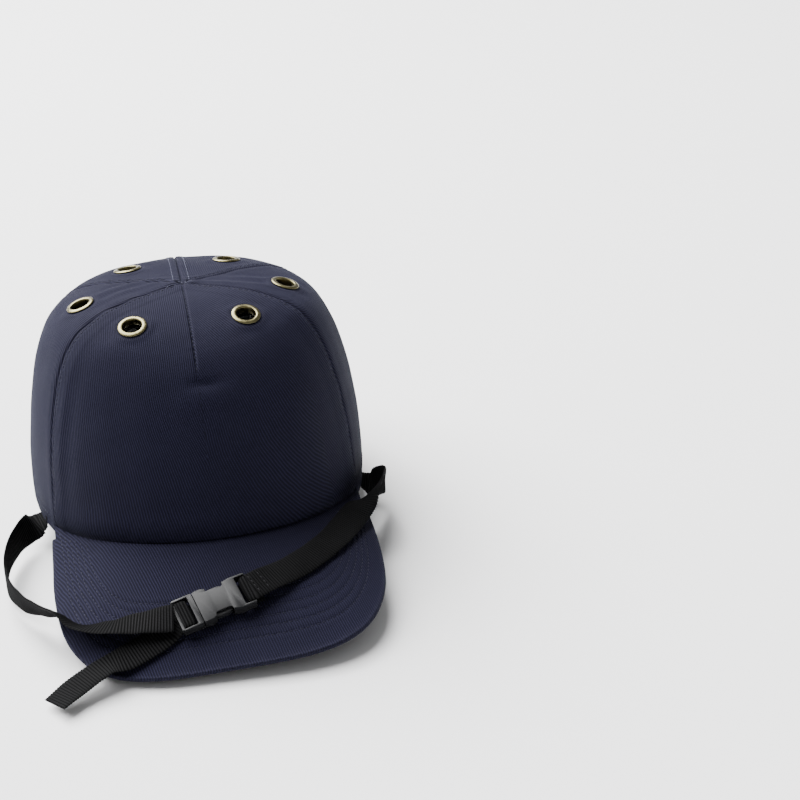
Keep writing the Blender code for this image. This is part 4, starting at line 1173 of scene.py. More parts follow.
# loose ends where the seams meet at the top
q = np.linspace(0, 1, 16)
for i, (at, l, off) in enumerate(((0.45, 8.5, 1.0), (2.2, 6.0, -1.4), (3.5, 7.5, 1.6), (5.2, 5.0, -0.8), (1.1, 4.2, 0.7))):
    P, N = on_crown(np.array([0.1]), np.array([0.992]))
    x, y, n = np.array([math.cos(at), math.sin(at), 0.0]), np.array([-math.sin(at), math.cos(at), 0.0]), unit(N[0])
    path = P[0] + x * (1.5 + l * q)[:, None] + y * (off * np.sin(4.2 * q + i))[:, None]
    path = path + n * (0.45 + 1.5 * q * (1.15 - q))[:, None]
    path[:, 2] = np.maximum(path[:, 2], P[0][2] + 0.3 - 0.012 * (l * q) ** 2)
    t = unit(np.gradient(path, axis=0))
    s = unit(np.cross(t, n))
    u = np.cross(s, t)
    ang = np.linspace(0, 2 * math.pi, 6, endpoint=False)
    THREADS.setdefault("ends", []).append(path[:, None] + (s[:, None] * np.cos(ang)[None, :, None] + u[:, None] * np.sin(ang)[None, :, None]) * 0.13)
finish_threads("ends", "crown_thread_ends", "thread_pale")
finish_threads("crown", "crown_stitching", "thread_navy")
finish_threads("back", "crown_stitching_rear", "thread_pale")

# ------------------------------------------------------------------ visor
ROWS = [15.0 + 5.6 * i for i in range(6)]


def reach(b):
    A, B = visor_join(b), visor_edge(b) - visor_outward(b) * 2.0
    B[..., 2] += VISOR_THICK / 2
    return np.linalg.norm(B - A, axis=-1)


def visor_relief(b, w, top=True):
    L = reach(b)
    d = (1 - w) * L + 2.0
    P = visor(b, w)
    along = np.stack([P[..., 0], P[..., 1], d * 0.3], -1)
    out = 0.22 * wob(P, 48, 71) + 0.06 * wob(P, 15, 72)
    wear = bell(d - 1.0, 2.2) * (0.7 + 0.3 * wob(P, 12, 77))
    live = step_up((L - 20) / 8)
    for i, row in enumerate(ROWS):
        k = live * step_up((L - row - 3.0) / 2.0)
        out = out - k * 0.24 * bell(d - row, 0.55) + k * 0.10 * bell(np.abs(d - row) - 2.2, 1.3) * (1 + 0.5 * wob(along, 6.5, 80 + i))
    join = (1 - w) * 0 + w * L
    out = out - 0.35 * bell(np.clip(join, 0, None) - 0.8, 1.1) + 0.18 * bell(join - 4.5, 2.5) * (1 + 0.4 * wob(along, 10, 95))
    return out * step_up(d / 6.0), np.clip(wear, 0, 1)


def visor_sheet(name, node, rows, angles, look, tucks, nu):
    s = np.linspace(-1, 1, nu)
    b1 = (s * HALF_PI) * 0.9992
    b = np.tile(b1, (len(rows), 1))
    w = np.tile(np.array(rows)[:, None], (1, nu))
    L = reach(b)
    root = 0.55
    wr = w + (1 - w) * 0
    d, wear = visor_relief(b, np.clip(w, 0, 1))
    z0 = visor(b, w, 2.0 + 0 * w, 0 * w, -root)
    z1 = visor(b, w, 2.0 + 0 * w, 0 * w + 1.0, -root)
    nrm = z1 - z0
    return b, w, z0, nrm, d, wear


def visor_top():
    nu = int(300 / FINE)
    L0 = float(reach(np.array(0.0)))
    marks = [1 - (r - 2.0) / L0 for r in ROWS] + [0.0, 1.0]
    rows = spaced(0, 1, marks, 0.30 * FINE / L0, 1.0 * FINE / L0, 3.0 / L0)
    b, w, base, nrm, d, wear = visor_sheet("", "", rows, None, "", None, nu)
    outer = base + nrm * d[..., None]
    inner = outer - nrm * COVER
    r = VISOR_THICK / 2
    q = np.linspace(0, math.pi, 15)[1:]
    bb = np.tile(b[0], (len(q), 1))
    qq = np.tile(q[:, None], (1, nu))
    soft = 0.10 * wob(visor(bb, 1 + 0 * bb), 22, 73)
    ro = visor(bb, 1 + 0 * bb, 2.0 - (r + soft) * np.sin(qq), -r + r * np.cos(qq), -0.55)
    ri = visor(bb, 1 + 0 * bb, 2.0 - (r - COVER) * np.sin(qq), -r + (r - COVER) * np.cos(qq), -0.55)
    tuck = np.array([2.5, 3.0, 3.25])
    bt = np.tile(b[0], (3, 1))
    it = np.tile(tuck[:, None], (1, nu))
    fall = np.tile(np.array([0.0, 0.05, 0.35])[:, None], (1, nu))
    to = visor(bt, 1 + 0 * bt, it, -VISOR_THICK + fall, -0.55)
    ti = visor(bt, 1 + 0 * bt, it, -VISOR_THICK + COVER + fall * 0, -0.55)
    P, Q = np.vstack([outer, ro, to]), np.vstack([inner, ri, ti])
    nv = P.shape[0]
    wr = np.vstack([wear, bell(qq - 0.8, 0.9) * 0.8, 0 * it])
    V, F = thick(P, Q, grid_faces(nv, nu))
    lam = math.radians(21.0)
    flat = P.reshape(-1, 3)
    x, y = flat[:, 0], flat[:, 1] - flat[:, 2] * 0.6
    uv = np.stack([x * math.cos(lam) + y * math.sin(lam), -x * math.sin(lam) + y * math.cos(lam)], -1)
    return build("visor_top_cloth", V, F, "navy_twill", uv=np.vstack([uv, uv]), attrs={"wear": np.r_[np.clip(wr, 0, 1).ravel(), wr.ravel() * 0]},
                 replaces=("visor_top_cover",))


def visor_under():
    nu = int(280 / FINE)
    L0 = float(reach(np.array(0.0)))
    marks = [1 - (r - 2.0) / L0 for r in ROWS] + [1.0]
    rows = spaced(0, 1, marks, 0.34 * FINE / L0, 1.2 * FINE / L0, 3.0 / L0)
    b = np.tile(np.linspace(-1, 1, nu) * HALF_PI * 0.985, (len(rows), 1))
    w = np.tile(np.array(rows)[:, None], (1, nu))
    ins = 3.55 + 0 * w
    d, wear = visor_relief(b, w)
    edge = (1 - w) * reach(b)
    drop = -VISOR_THICK - d * 0.9 + 0.35 * bell(edge, 0.9)
    P = visor(b, w, ins, drop, 0.5)
    Q = visor(b, w, ins, drop * 0 - VISOR_THICK + COVER, 0.5)
    V, F = thick(P, Q, grid_faces(len(rows), nu))
    lam = math.radians(-24.0)
    flat = P.reshape(-1, 3)
    x, y = flat[:, 0], flat[:, 1] - flat[:, 2] * 0.6
    uv = np.stack([x * math.cos(lam) + y * math.sin(lam), -x * math.sin(lam) + y * math.cos(lam)], -1)
    wear = np.clip(bell(edge - 1.2, 1.0), 0, 1)
    return build("visor_under_cloth", V, F, "navy_twill", uv=np.vstack([uv, uv]), attrs={"wear": np.r_[wear.ravel(), wear.ravel() * 0]},
                 replaces=("visor_under_cover",))


visor_top()
visor_under()
for i, row in enumerate(ROWS):
    b = np.linspace(-1, 1, 4000) * HALF_PI * 0.999
    L = reach(b)
    ok = L > row + 1.5
    b, L = b[ok], L[ok]
    w = 1 - (row - 2.0) / L
    d, _ = visor_relief(b, w)
    base = visor(b, w, 2.0 + 0 * w, 0 * w, -0.55)
    n = visor(b, w, 2.0 + 0 * w, 0 * w + 1.0, -0.55) - base
    sew("visor", base + n * d[:, None], n, seed=100 + i, start=0.7 * (i % 3))
    w2 = 1 - (row - 2.0 + 1.55) / L
    base = visor(b, w2, 3.55 + 0 * w, 0 * w - VISOR_THICK - d * 0.9, 0.5)
    sew("under", base, -n, seed=200 + i, start=0.9 * (i % 3))
finish_threads("visor", "visor_stitching_top", "thread_navy")
finish_threads("under", "visor_stitching_under", "thread_navy")

# ------------------------------------------------------------------ inner shell
def fine_shell():
    nu, nv = int(300 / FINE), int(120 / FINE)
    u = np.arange(nu) / nu
    phi = (u * 2 - 1) * math.pi
    k = np.linspace(0, 0.992, nv)
    ph, kk = np.tile(phi, (nv, 1)), np.tile(k[:, None], (1, nu))
    v0 = v_of_z(ph, shell_edge(ph))
    v = v0 * (1 - kk) + kk
    P, Q = shell_face(ph, v, 0.0), shell_face(ph, v, SHELL_WALL)
    P, near = puncture(P, 4.5, 6.5, 10.5)
    Q, _ = puncture(Q, 4.5, 6.5, 10.5)
    F = grid_faces(nv, nu, wrap=True)
    F = F[near.reshape(-1)[F].mean(1) > 4.5]
    B = np.unique(edges_open(F))
    for G in (P, Q):
        flat = G.reshape(-1, 3)
        for p, x, y, n in SEATS.values():
            d = flat[B] - p
            a, b, c = d @ x, d @ y, d @ n
            r = np.hypot(a, b)
            hit = (r < 9.0) & (np.abs(c) < 12)
            s = 6.5 / r[hit] - 1
            flat[B[hit]] += a[hit, None] * s[:, None] * x + b[hit, None] * s[:, None] * y
    n = nv * nu
    E = edges_open(F)
    E = E[~((E >= (nv - 1) * nu).all(1))]
    side = np.stack([E[:, 1], E[:, 0], E[:, 0] + n, E[:, 1] + n], -1)
    V = np.vstack([P.reshape(-1, 3), Q.reshape(-1, 3), [(0, APEX_SHIFT, CROWN_HEIGHT - SHELL_DEPTH), (0, APEX_SHIFT, CROWN_HEIGHT - SHELL_DEPTH - SHELL_WALL)]])
    faces = np.vstack([F, F[:, ::-1] + n, side]).tolist()
    top = np.arange((nv - 1) * nu, nv * nu)
    for i in range(nu):
        a, b = int(top[i]), int(top[(i + 1) % nu])
        faces.append([a, b, 2 * n])
        faces.append([b + n, a + n, 2 * n + 1])
    ob = build("inner_shell_moulding", V, faces, "black_abs", replaces=("inner_shell",), angle=40)
    return ob


fine_shell()

# ------------------------------------------------------------------ eyelets and washers
ro, ri = EYELET_OD / 2, EYELET_ID / 2
EYELET_OUTLINE = ((ro, 0.45), (ro - 0.15, 0.16), (ri + 0.6, 0.1), (ri + 0.6, -3.1), (ri + 1.6, -3.2), (ri + 1.6, -3.65), (ri, -3.5),
                  (ri, 0.7), (ri + 0.9, 1.15), (ro - 0.55, 0.9))
WASHER_OUTLINE = ((ro, -2.35), (ro, -2.85), (ri + 0.9, -2.9), (ri + 0.9, -2.3))
fine_eyelet = round_outline(EYELET_OUTLINE, 0, 3)
fine_washer = round_outline(WASHER_OUTLINE, 0, 2)
for key, (p, x, y, n) in SEATS.items():
    for kind, outline in (("eyelet", fine_eyelet), ("washer", fine_washer)):
        V, F = revolve(outline, 72)
        V = p + V[:, :1] * x + V[:, 1:2] * y + V[:, 2:] * n
        build("%s_metal_%s" % (kind, key), V, F, "brass", replaces=("%s_%s" % (kind, key),), angle=60)

# ------------------------------------------------------------------ foam pad
g = bmesh.new()
g.from_mesh(sheet(200, 80, shell_fn(SHELL_WALL + 1.6), wrap=True, pole=True))
pad_tree = BVHTree.FromBMesh(g)
g.free()
stations = np.array(PAD_OUTLINE, float)[::-1]


def fine_pad():
    nv, nc = int(150 / FINE), 26
    th = np.radians(148.0 + (24.0 - 148.0) * np.linspace(0, 1, nv))
    ys = []
    for t in th:
        hit = pad_tree.ray_cast(Vector((0, -4.0, 18.0)) * MM, Vector((0, math.cos(t), math.sin(t))))[0]
        ys.append(hit.y / MM + 4.0)
    half = np.interp(ys, stations[:, 0], stations[:, 1])
    ker = np.exp(-np.linspace(-2, 2, 11) ** 2)
    ker /= ker.sum()
    half = np.convolve(np.pad(half, 5, mode="edge"), ker, mode="valid")
    end = np.minimum(np.arange(nv), np.arange(nv)[::-1]) / (nv / 150.0)
    corner = 6.0 * (1 - np.sqrt(np.clip(1 - (1 - np.clip(end / 6.0, 0, 1)) ** 2, 0, 1)))
    half = half - corner
    rings = np.zeros((nv, 2 * nc, 3))
    xs = np.sin(np.linspace(-1, 1, nc) * HALF_PI)
    for i, t in enumerate(th):
        d = Vector((0, math.cos(t), math.sin(t)))
        thin = PAD_THICK * (0.35 + 0.65 * math.sqrt(max(0.0, 1 - (1 - min(end[i] / 2.5, 1)) ** 2)))
        for j, xx in enumerate(xs):
            x = float(xx) * half[i]
            hit, nor, _, _ = pad_tree.ray_cast(Vector((x, -4.0, 18.0)) * MM, d)
            hit = np.array(hit) / MM
            nor = np.array(nor)
            nor = nor * (-1 if nor @ (np.array((0, -4.0, 18.0)) - hit) < 0 else 1)
            over = max(0.0, 1 - (half[i] - abs(x)) / 1.6)
            e = 1.6 * (1 - math.sqrt(max(0.0, 1 - over ** 2)))
            rings[i, j] = hit + nor * e * 0.5
            rings[i, 2 * nc - 1 - j] = hit + nor * (thin - e)
    V, F = tube(rings)
    return build("foam_pad_eva", V, F, "black_foam", replaces=("foam_pad",), angle=70)


fine_pad()


# ------------------------------------------------------------------ sweatband
def band_point(phi, h, extra=0.0):
    joint = 1 - step_up((np.degrees(np.abs(phi)) - 60) / 6)
    low = FABRIC + 0.55 + 1.15 * joint
    inner = SHELL_DEPTH + SHELL_WALL + 0.7
    k = step_up(h / 11.0)
    P0 = crown(phi, v_of_z(phi, hem(phi) + 0.4 + h))
    wave = 0.35 * wob(np.stack([phi * 88, h * 0.35, h * 0], -1), 24, 131) * step_up(h / 8) + 0.12 * wob(np.stack([phi * 88, h, h * 0], -1), 9, 132)
    fold = -0.35 * bell(h - BAND_WIDTH + 2.2, 1.2) * 0 + 0.22 * bell(h - BAND_WIDTH + 3.4, 0.7) + 0.2 * bell(h - 3.0, 0.7)
    depth = low * (1 - k) + (inner + 0.25) * k - np.clip(wave, -0.3, 0.6) * 0.6 + fold * 0 + extra
    z = hem(phi) + 0.4 + h
    return crown(phi, v_of_z(phi, z), depth), fold


def fine_band():
    nu, nv = int(420 / FINE), 40
    phi = np.tile(np.radians(np.linspace(-BAND_END, BAND_END, nu)), (nv, 1))
    h = np.tile(np.linspace(0, BAND_WIDTH, nv)[:, None], (1, nu))
    P, fold = band_point(phi, h)
    Q, _ = band_point(phi, h, BAND_THICK)
    Q2, _ = band_point(phi, h, BAND_THICK - fold)
    edge = np.minimum(h, BAND_WIDTH - h)
    k = np.sqrt(np.clip(1 - (1 - np.clip(edge / 0.9, 0, 1)) ** 2, 0.02, 1))[..., None]
    mid = (P + Q2) / 2
    P, Q2 = mid + (P - mid) * k, mid + (Q2 - mid) * k
    V, F = thick(P, Q2, grid_faces(nv, nu))
    uv = np.stack([phi * 92, h], -1).reshape(-1, 2)
    build("sweatband_cloth", V, F, "black_band", uv=np.vstack([uv, uv]), replaces=("sweatband",), angle=70)
    ph = np.radians(np.linspace(-BAND_END + 1, BAND_END - 1, 2500))
    for hh, seed in ((3.0, 141), (BAND_WIDTH - 3.4, 142)):
        H = np.full(ph.shape, hh)
        A, f = band_point(ph, H, BAND_THICK - 0.12)
        B, _ = band_point(ph, H, BAND_THICK + 0.9)
        sew("band", A, unit(B - A), seed=seed)
    finish_threads("band", "sweatband_stitching", "thread_black")


fine_band()


# ------------------------------------------------------------------ ribbons
def ribbon_rings(Q, V, width, thick, rib=0.0, pitch=1.1, cols=9, phase=0.0, soft=0.0, seed=1, taper=0.0):
    """Rings of a strap: Q is the centre line, V the width direction."""
    T = unit(np.gradient(Q, axis=0))
    V = unit(V - T * (V * T).sum(-1, keepdims=True))
    N = np.cross(T, V)
    L = np.r_[0, np.cumsum(np.linalg.norm(np.diff(Q, axis=0), axis=1))]
    x = np.sin(np.linspace(-1, 1, cols) * HALF_PI * 0.97)
    x = x / np.abs(x).max()
    lens = (1 - np.abs(x) ** 10) ** 0.5 * 0.9 + 0.1
    c = np.cos(2 * math.pi * L / pitch + phase)
    up = (thick / 2 - rib)[:, None] if isinstance(thick, np.ndarray) else thick / 2 - rib
    top = (up + rib * (0.5 + 0.5 * c)[:, None]) * lens[None, :]
    bot = (up + rib * (0.5 - 0.5 * c)[:, None]) * lens[None, :]
    half = (width / 2 - rib * 0.9 + rib * 0.9 * c)[:, None] * x[None, :]
    if soft:
        lift = soft * wob(Q, 22, seed)[:, None] * (x[None, :] ** 2) + 0.4 * soft * wob(Q, 9, seed + 1)[:, None] * x[None, :]
    else:
        lift = 0.0
    A = Q[:, None] + V[:, None] * half[..., None] + N[:, None] * (top + lift)[..., None]
    B = Q[:, None] + V[:, None] * half[..., None] + N[:, None] * (-bot + lift)[..., None]
    return np.concatenate([A, B[:, ::-1]], 1), L


def strap(name, Q, V, width, thick, look, body, replaces=(), rib=0.0, pitch=1.1, cols=9, soft=0.0, seed=1, phase=0.0, step=0.28, angle=60, first=0.0):
    n = max(4, int(np.linalg.norm(np.diff(Q, axis=0), axis=1).sum() / (step * FINE)))
    Q, V = resample(Q, V, n)
    R, L = ribbon_rings(Q, V, width, thick, rib, pitch, cols, phase, soft, seed)
    Vv, F = tube(R)
    m = R.shape[1]
    across = np.r_[np.linspace(-1, 1, cols), np.linspace(1, -1, cols)] * width / 2
    uv = np.stack([np.tile(across, len(L)), np.repeat(L + first, m)], -1)
    return build(name, Vv, F, look, uv=uv, attrs={"wear": np.tile(bell(np.abs(across) - width / 2, 0.7) * 0.6, len(L))}, body=body, replaces=replaces, angle=angle)


def path_to_world(p):
    return tuple(float(x) for x in world(np.asarray(p, float)))


# wearer's left: out from under the rim, round the visor's corner, over the visor to the socket's bar
turn = [in_buckle(26.2 - 2.1 * math.sin(a), 0, 2.1 * math.cos(a)) for a in np.linspace(0, math.pi, 25)]
P = [(87.4, -23.6, 4.0), (87.9, -23.8, 0.4), (89.6, -24.0, -2.2), (92.9, -24.5, -3.8), (97.2, -27.5, -1.2), (99.6, -35, 2.6), (96.5, -48, 6.8), (88.5, -63, 10.2)]
W = [(0.1, 1, 0), (0.12, 0.98, 0.1), (0.12, 0.93, 0.3), (0.1, 0.9, 0.4), (0, 0.6, 0.8), (0.05, 0.3, 0.95), (0.35, 0.25, 0.9), (0.75, 0.1, 0.65)]
for x, y, h, w in ((74.0, -82.0, 4.2, (0.85, -0.45, 0)), (60.5, -103.0, 2.3, (0.72, -0.68, 0)), (45.0, -118.5, 2.3, (0.5, -0.82, 0)),
                   (31.5, -127.5, 3.4, (0.38, -0.86, 0))):
    p, w = lay(x, y, h, w)
    P.append(p)
    W.append(w)
Q1, V1 = smooth_path(P + [in_buckle(28.6, 0, 2.3)], W + [-bv], 400)
Qt = np.array([in_buckle(27.2, 0, 2.1)] + turn + [in_buckle(x, 0, -2.1) for x in (28.0, 30.0, 32.5)])
Q, V = np.vstack([Q1, Qt]), np.vstack([V1, np.tile(-bv, (len(Qt), 1))])
left = strap("chin_webbing_left", Q, V, WEB_W, WEB_T, "black_webbing", None, replaces=("chin_strap_left",), rib=0.24, pitch=WEB_RIB, soft=0.5, seed=301)
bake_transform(left)
# box stitch that closes the fold behind the socket's bar
left_n = unit(np.cross(unit(np.gradient(Q1, axis=0)), unit(V1)))
for x in (30.2, 36.5):
    k = int(np.argmin(np.linalg.norm(Q1 - in_buckle(x, 0, 2.3), axis=1)))
    side = np.sign(left_n[k] @ (in_buckle(x, 0, 5.0) - in_buckle(x, 0, 0.0)))
    row = np.array([Q1[k] + unit(V1)[k] * c + left_n[k] * side * (WEB_T / 2 + 0.02) for c in np.linspace(-6.4, 6.4, 40)])
    sew("box", row, np.tile(left_n[k] * side, (len(row), 1)), seed=331 + int(x))
finish_threads("box", "chin_strap_stitching", "thread_black", body="chin_strap")

# wearer's right: curling out beside the cap, over the visor's corner, round the plug's bar, to the free tail
P = [(-87.4, -23.6, 4.0), (-87.9, -23.8, 0.4), (-89.6, -24.0, -2.2), (-92.9, -24.8, -3.8), (-97.0, -29, -3.6), (-103.5, -41, -4.0), (-108.8, -59, -6.2), (-109.0, -79, -8.4),
     (-103.0, -97, -9.2), (-93.5, -112, -7.6), (-84.0, -124.5, -5.0)]
W = [(-0.1, 1, 0), (-0.12, 0.98, 0.1), (-0.12, 0.93, 0.3), (-0.1, 0.9, 0.4), (0, 0.6, 0.8), (0, 0.25, 0.97), (0, 0.05, 1), (0, -0.02, 1), (-0.12, -0.2, 0.97), (-0.25, -0.5, 0.83),
     (-0.3, -0.72, 0.62)]
for x, y, h, w in ((-72.0, -134.5, 6.9, (-0.2, -0.9, 0.38)), (-58.0, -140.5, 6.4, (-0.05, -0.97, 0.12)), (-44.0, -142.8, 5.8, (0.08, -0.96, -0.15))):
    P.append(on_visor(x, y, h))
    W.append(w)
Q1, V1 = smooth_path(P + [in_buckle(-13.0, 0.2, 2.3)], W + [-bv], 600)
turn = [in_buckle(-6.0 + 1.75 * math.sin(a), 0, 1.75 * math.cos(a)) for a in np.linspace(0, math.pi, 21)]
near = np.array([in_buckle(-11.5, 0, 1.95), in_buckle(-10.0, 0, 1.8)])
Qt = np.array([in_buckle(-10.0, 0, 1.8)] + turn + [in_buckle(-10.0, 0, -1.8)])
P = [in_buckle(-12.2, 0, -1.8)]
W = [-bv]
for x, y, h, w in ((-34.0, -150.6, 1.7, (0.35, -0.86, 0)), (-50.0, -156.2, 1.9, (0.33, -0.9, 0)), (-62.0, -160.0, 2.4, (0.33, -0.93, 0))):
    p, w = lay(x, y, h, w)
    P.append(p)
    W.append(w)
P += [(-76.5, -168.0, -21.9), (-88.0, -177.0, -25.0)]
W += [(0.42, -0.9, -0.1), (0.5, -0.86, 0.02)]
Q2, V2 = smooth_path(P, W, 160)
cutat = int(np.argmin(np.linalg.norm(Q1 - np.array((-103.5, -41, -4.0)), axis=1)))
A, AV = Q1[:cutat + 1], V1[:cutat + 1]
B, BV = Q1[cutat:], V1[cutat:]
la = float(np.linalg.norm(np.diff(A, axis=0), axis=1).sum())
root = strap("chin_webbing_right_root", A, AV, WEB_W, WEB_T, "black_webbing", None, rib=0.24, pitch=WEB_RIB, soft=0.0, seed=311)
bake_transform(root)
right = strap("chin_webbing_right", B, BV, WEB_W, WEB_T, "black_webbing", None, replaces=("chin_strap_right",), rib=0.24, pitch=WEB_RIB, soft=0.0, seed=312,
              phase=2 * math.pi * la / WEB_RIB, first=la)
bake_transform(right)
tail_q = np.vstack([Qt, Q2])
tail_v = np.vstack([np.tile(-bv, (len(Qt), 1)), V2])
strap("chin_webbing_tail", tail_q, tail_v, WEB_W, WEB_T, "black_webbing", "buckle_plug", rib=0.24, pitch=WEB_RIB, soft=0.0, seed=321)


# ------------------------------------------------------------------ buckle
def plate(points, z0, z1):
    """Prism over a plan outline in buckle coordinates; z may be a function of x."""
    f0 = z0 if callable(z0) else (lambda x: z0)
    f1 = z1 if callable(z1) else (lambda x: z1)
    n = len(points)
    V = [in_buckle(x, y, f0(x)) for x, y in points] + [in_buckle(x, y, f1(x)) for x, y in points]
    F = [list(range(n))[::-1], list(range(n, 2 * n))] + [[i, (i + 1) % n, n + (i + 1) % n, n + i] for i in range(n)]
    return V, F


def rounded_plan(x0, x1, y0, y1, r, n=6):
    out = []
    for cx, cy, a in ((x1 - r, y1 - r, 0), (x0 + r, y1 - r, 90), (x0 + r, y0 + r, 180), (x1 - r, y0 + r, 270)):
        for i in range(n + 1):
            t = math.radians(a + 90 * i / n)
            out.append((cx + r * math.cos(t), cy + r * math.sin(t)))
    return out


def moulding(name, V, F, tools, bevel_w, body, replaces, seg=3, join=()):
    me = bpy.data.meshes.new(name)
    me.from_pydata([tuple(p) for p in world(np.array(V))], [], F)
    bm = bmesh.new()
    bm.from_mesh(me)
    bmesh.ops.recalc_face_normals(bm, faces=bm.faces)
    bm.to_mesh(me)
    bm.free()
    ob = bpy.data.objects.new(name, me)
    bpy.context.scene.collection.objects.link(ob)
    for t in join:
        m = ob.modifiers.new("join", "BOOLEAN")
        m.operation, m.solver, m.object = "UNION", "EXACT", t
    for t in tools:
        m = ob.modifiers.new("cut", "BOOLEAN")
        m.operation, m.solver, m.object = "DIFFERENCE", "EXACT", t
    bpy.context.view_layer.update()
    bake_mods(ob)
    for t in list(tools) + list(join):
        bpy.data.objects.remove(t, do_unlink=True)
    b = ob.modifiers.new("edges", "BEVEL")
    b.width, b.segments, b.limit_method, b.angle_limit = bevel_w * MM, seg, "ANGLE", math.radians(35)
    b.use_clamp_overlap = True
    bake_mods(ob)
    ob.data.materials.clear()
    ob.data.materials.append(MATS["buckle_plastic"])
    ob.data.shade_smooth()
    ob.data.set_sharp_from_angle(angle=math.radians(32))
    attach(ob, body)
    if replaces:
        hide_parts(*replaces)
    PIECES.append(ob)
    return ob


def prism_tool(points, z0, z1):
    V, F = plate(points, z0, z1)
    return tool(V, F)


half = [(0.0, 9.1), (1.6, 9.35), (4.6, 9.35), (6.2, 8.55), (16.8, 8.55), (19.4, 9.4), (27.3, 9.45), (27.9, 8.9)]
outline = half + [(x, -y) for x, y in half[::-1]]
face = lambda x: 2.75 + 0.42 * step_up(np.array(x / 3.0)) - 0.75 * step_up(np.array((x - 17.5) / 4.5))
xs = sorted({round(x, 2) for x, _ in outline})
V, F = plate(outline, lambda x: -float(face(x)), lambda x: float(face(x)))
tools = [prism_tool(rounded_plan(-3.0, 17.6, -8.3, 8.3, 1.0), -1.9, 1.9),
         prism_tool(rounded_plan(6.6, 15.8, 6.3, 12.0, 1.6), -5, 5),
         prism_tool(rounded_plan(6.6, 15.8, -12.0, -6.3, 1.6), -5, 5),
         prism_tool(rounded_plan(22.2, 25.6, -8.5, 8.5, 0.7), -5, 5),
         prism_tool(rounded_plan(24.0, 33.0, -8.5, 8.5, 0.5), 1.2, 5),
         prism_tool(rounded_plan(24.0, 33.0, -8.5, 8.5, 0.5), -5, -1.2)]
moulding("buckle_socket_moulding", V, F, tools, 0.28, "chin_strap", ("buckle_socket",))
half = [(-11.4, 8.7), (-10.6, 9.4), (-1.4, 9.4), (-0.4, 8.9)]
outline = half + [(x, -y) for x, y in half[::-1]]
V, F = plate(outline, lambda x: -2.3 - 0.35 * float(step_up(np.array((x + 6.5) / 3.0))), lambda x: 2.3 + 0.35 * float(step_up(np.array((x + 6.5) / 3.0))))
tools = [prism_tool(rounded_plan(-6.0, -3.0, -8.5, 8.5, 0.6), -5, 5),
         prism_tool(rounded_plan(-10.0, -8.0, -8.5, 8.5, 0.5), -5, 5),
         prism_tool(rounded_plan(-15.0, -5.9, -8.5, 8.5, 0.4), 0.8, 5),
         prism_tool(rounded_plan(-15.0, -5.9, -8.5, 8.5, 0.4), -5, -0.8)]
rail = [prism_tool(rounded_plan(-1.5, 16.1, -1.65, 1.65, 0.6), -1.35, 1.35)]
moulding("buckle_plug_moulding", V, F, tools, 0.24, "buckle_plug", ("buckle_plug",), join=rail)
for side, s in (("left", 1), ("right", -1)):
    o = [(0.05, 5.9), (9.0, 6.1), (9.6, 4.9), (14.2, 4.4), (15.4, 5.6), (15.5, 7.2), (13.5, 8.3), (8.0, 8.3), (6.8, 7.9), (0.05, 8.1)]
    o = [tuple(p) for p in round_outline([(x, y * s) for x, y in o], 0, 2)]
    V, F = plate(o, -1.5, 1.5)
    moulding("prong_moulding_" + side, V, F, [], 0.22, "prong_" + side, ("prong_" + side,), seg=2)


# ------------------------------------------------------------------ rear strap, ring, tab, patches, binding
def rear_path(path, n=None):
    path = np.array(path, float)
    Q = back_point(path[:, 0], STRAP_Z, path[:, 1])
    V = np.tile((0.0, 0.0, 1.0), (len(Q), 1))
    Q, V = smooth_path(Q, V, n or len(path) * 8)
    return Q, V


def edge_stitches(group, Q, V, width, thick, faces=(1, -1), inset=2.2, seed=1, trim=1.5):
    Q, V = resample(Q, V, max(8, int(np.linalg.norm(np.diff(Q, axis=0), axis=1).sum() / 0.7)))
    T = unit(np.gradient(Q, axis=0))
    N = np.cross(T, V)
    L = np.r_[0, np.cumsum(np.linalg.norm(np.diff(Q, axis=0), axis=1))]
    ok = (L > trim) & (L < L[-1] - trim)
    for f in faces:
        for e in (1, -1):
            P = Q + V * e * (width / 2 - inset) + N * f * (thick / 2)
            sew(group, P[ok], (N * f)[ok], seed=seed + 3 * f + e, lift=-0.03)


BAR_S, BAR_T = RING_X - RING_HALF, RING_X + RING_HALF
wrap_r = RING_R + 0.3 + STRAP_T / 2
path = [(-46, 3.1), (-40, 3.1), (-35, 3.0), (-31, 2.6), (-27, 2.2)] + [(x, 2.1) for x in np.linspace(-23, BAR_S - 2, 8)] + [(BAR_S, wrap_r)]
path += [(BAR_S + wrap_r * math.sin(a), wrap_r * math.cos(a)) for a in np.linspace(0, math.pi, 13)[1:]]
Q, V = rear_path(path)
strap("rear_strap_cloth", Q, V, STRAP_H, STRAP_T, "navy_twill", "cap", ("rear_strap",), step=0.8, cols=15, soft=0.15, seed=401)
edge_stitches("rear", Q, V, STRAP_H, STRAP_T, seed=410, trim=3.0)
flap_root = BAR_S - 0.5
path = [(x, -wrap_r) for x in np.linspace(flap_root, -30, 22)]
Q, V = rear_path(path)
flap = strap("rear_flap_cloth", Q, V, STRAP_H, STRAP_T, "navy_twill", "rear_flap", ("rear_flap",), step=0.8, cols=15, soft=0.2, seed=402)
edge_stitches("flap", Q, V, STRAP_H, STRAP_T, seed=420, trim=2.2)
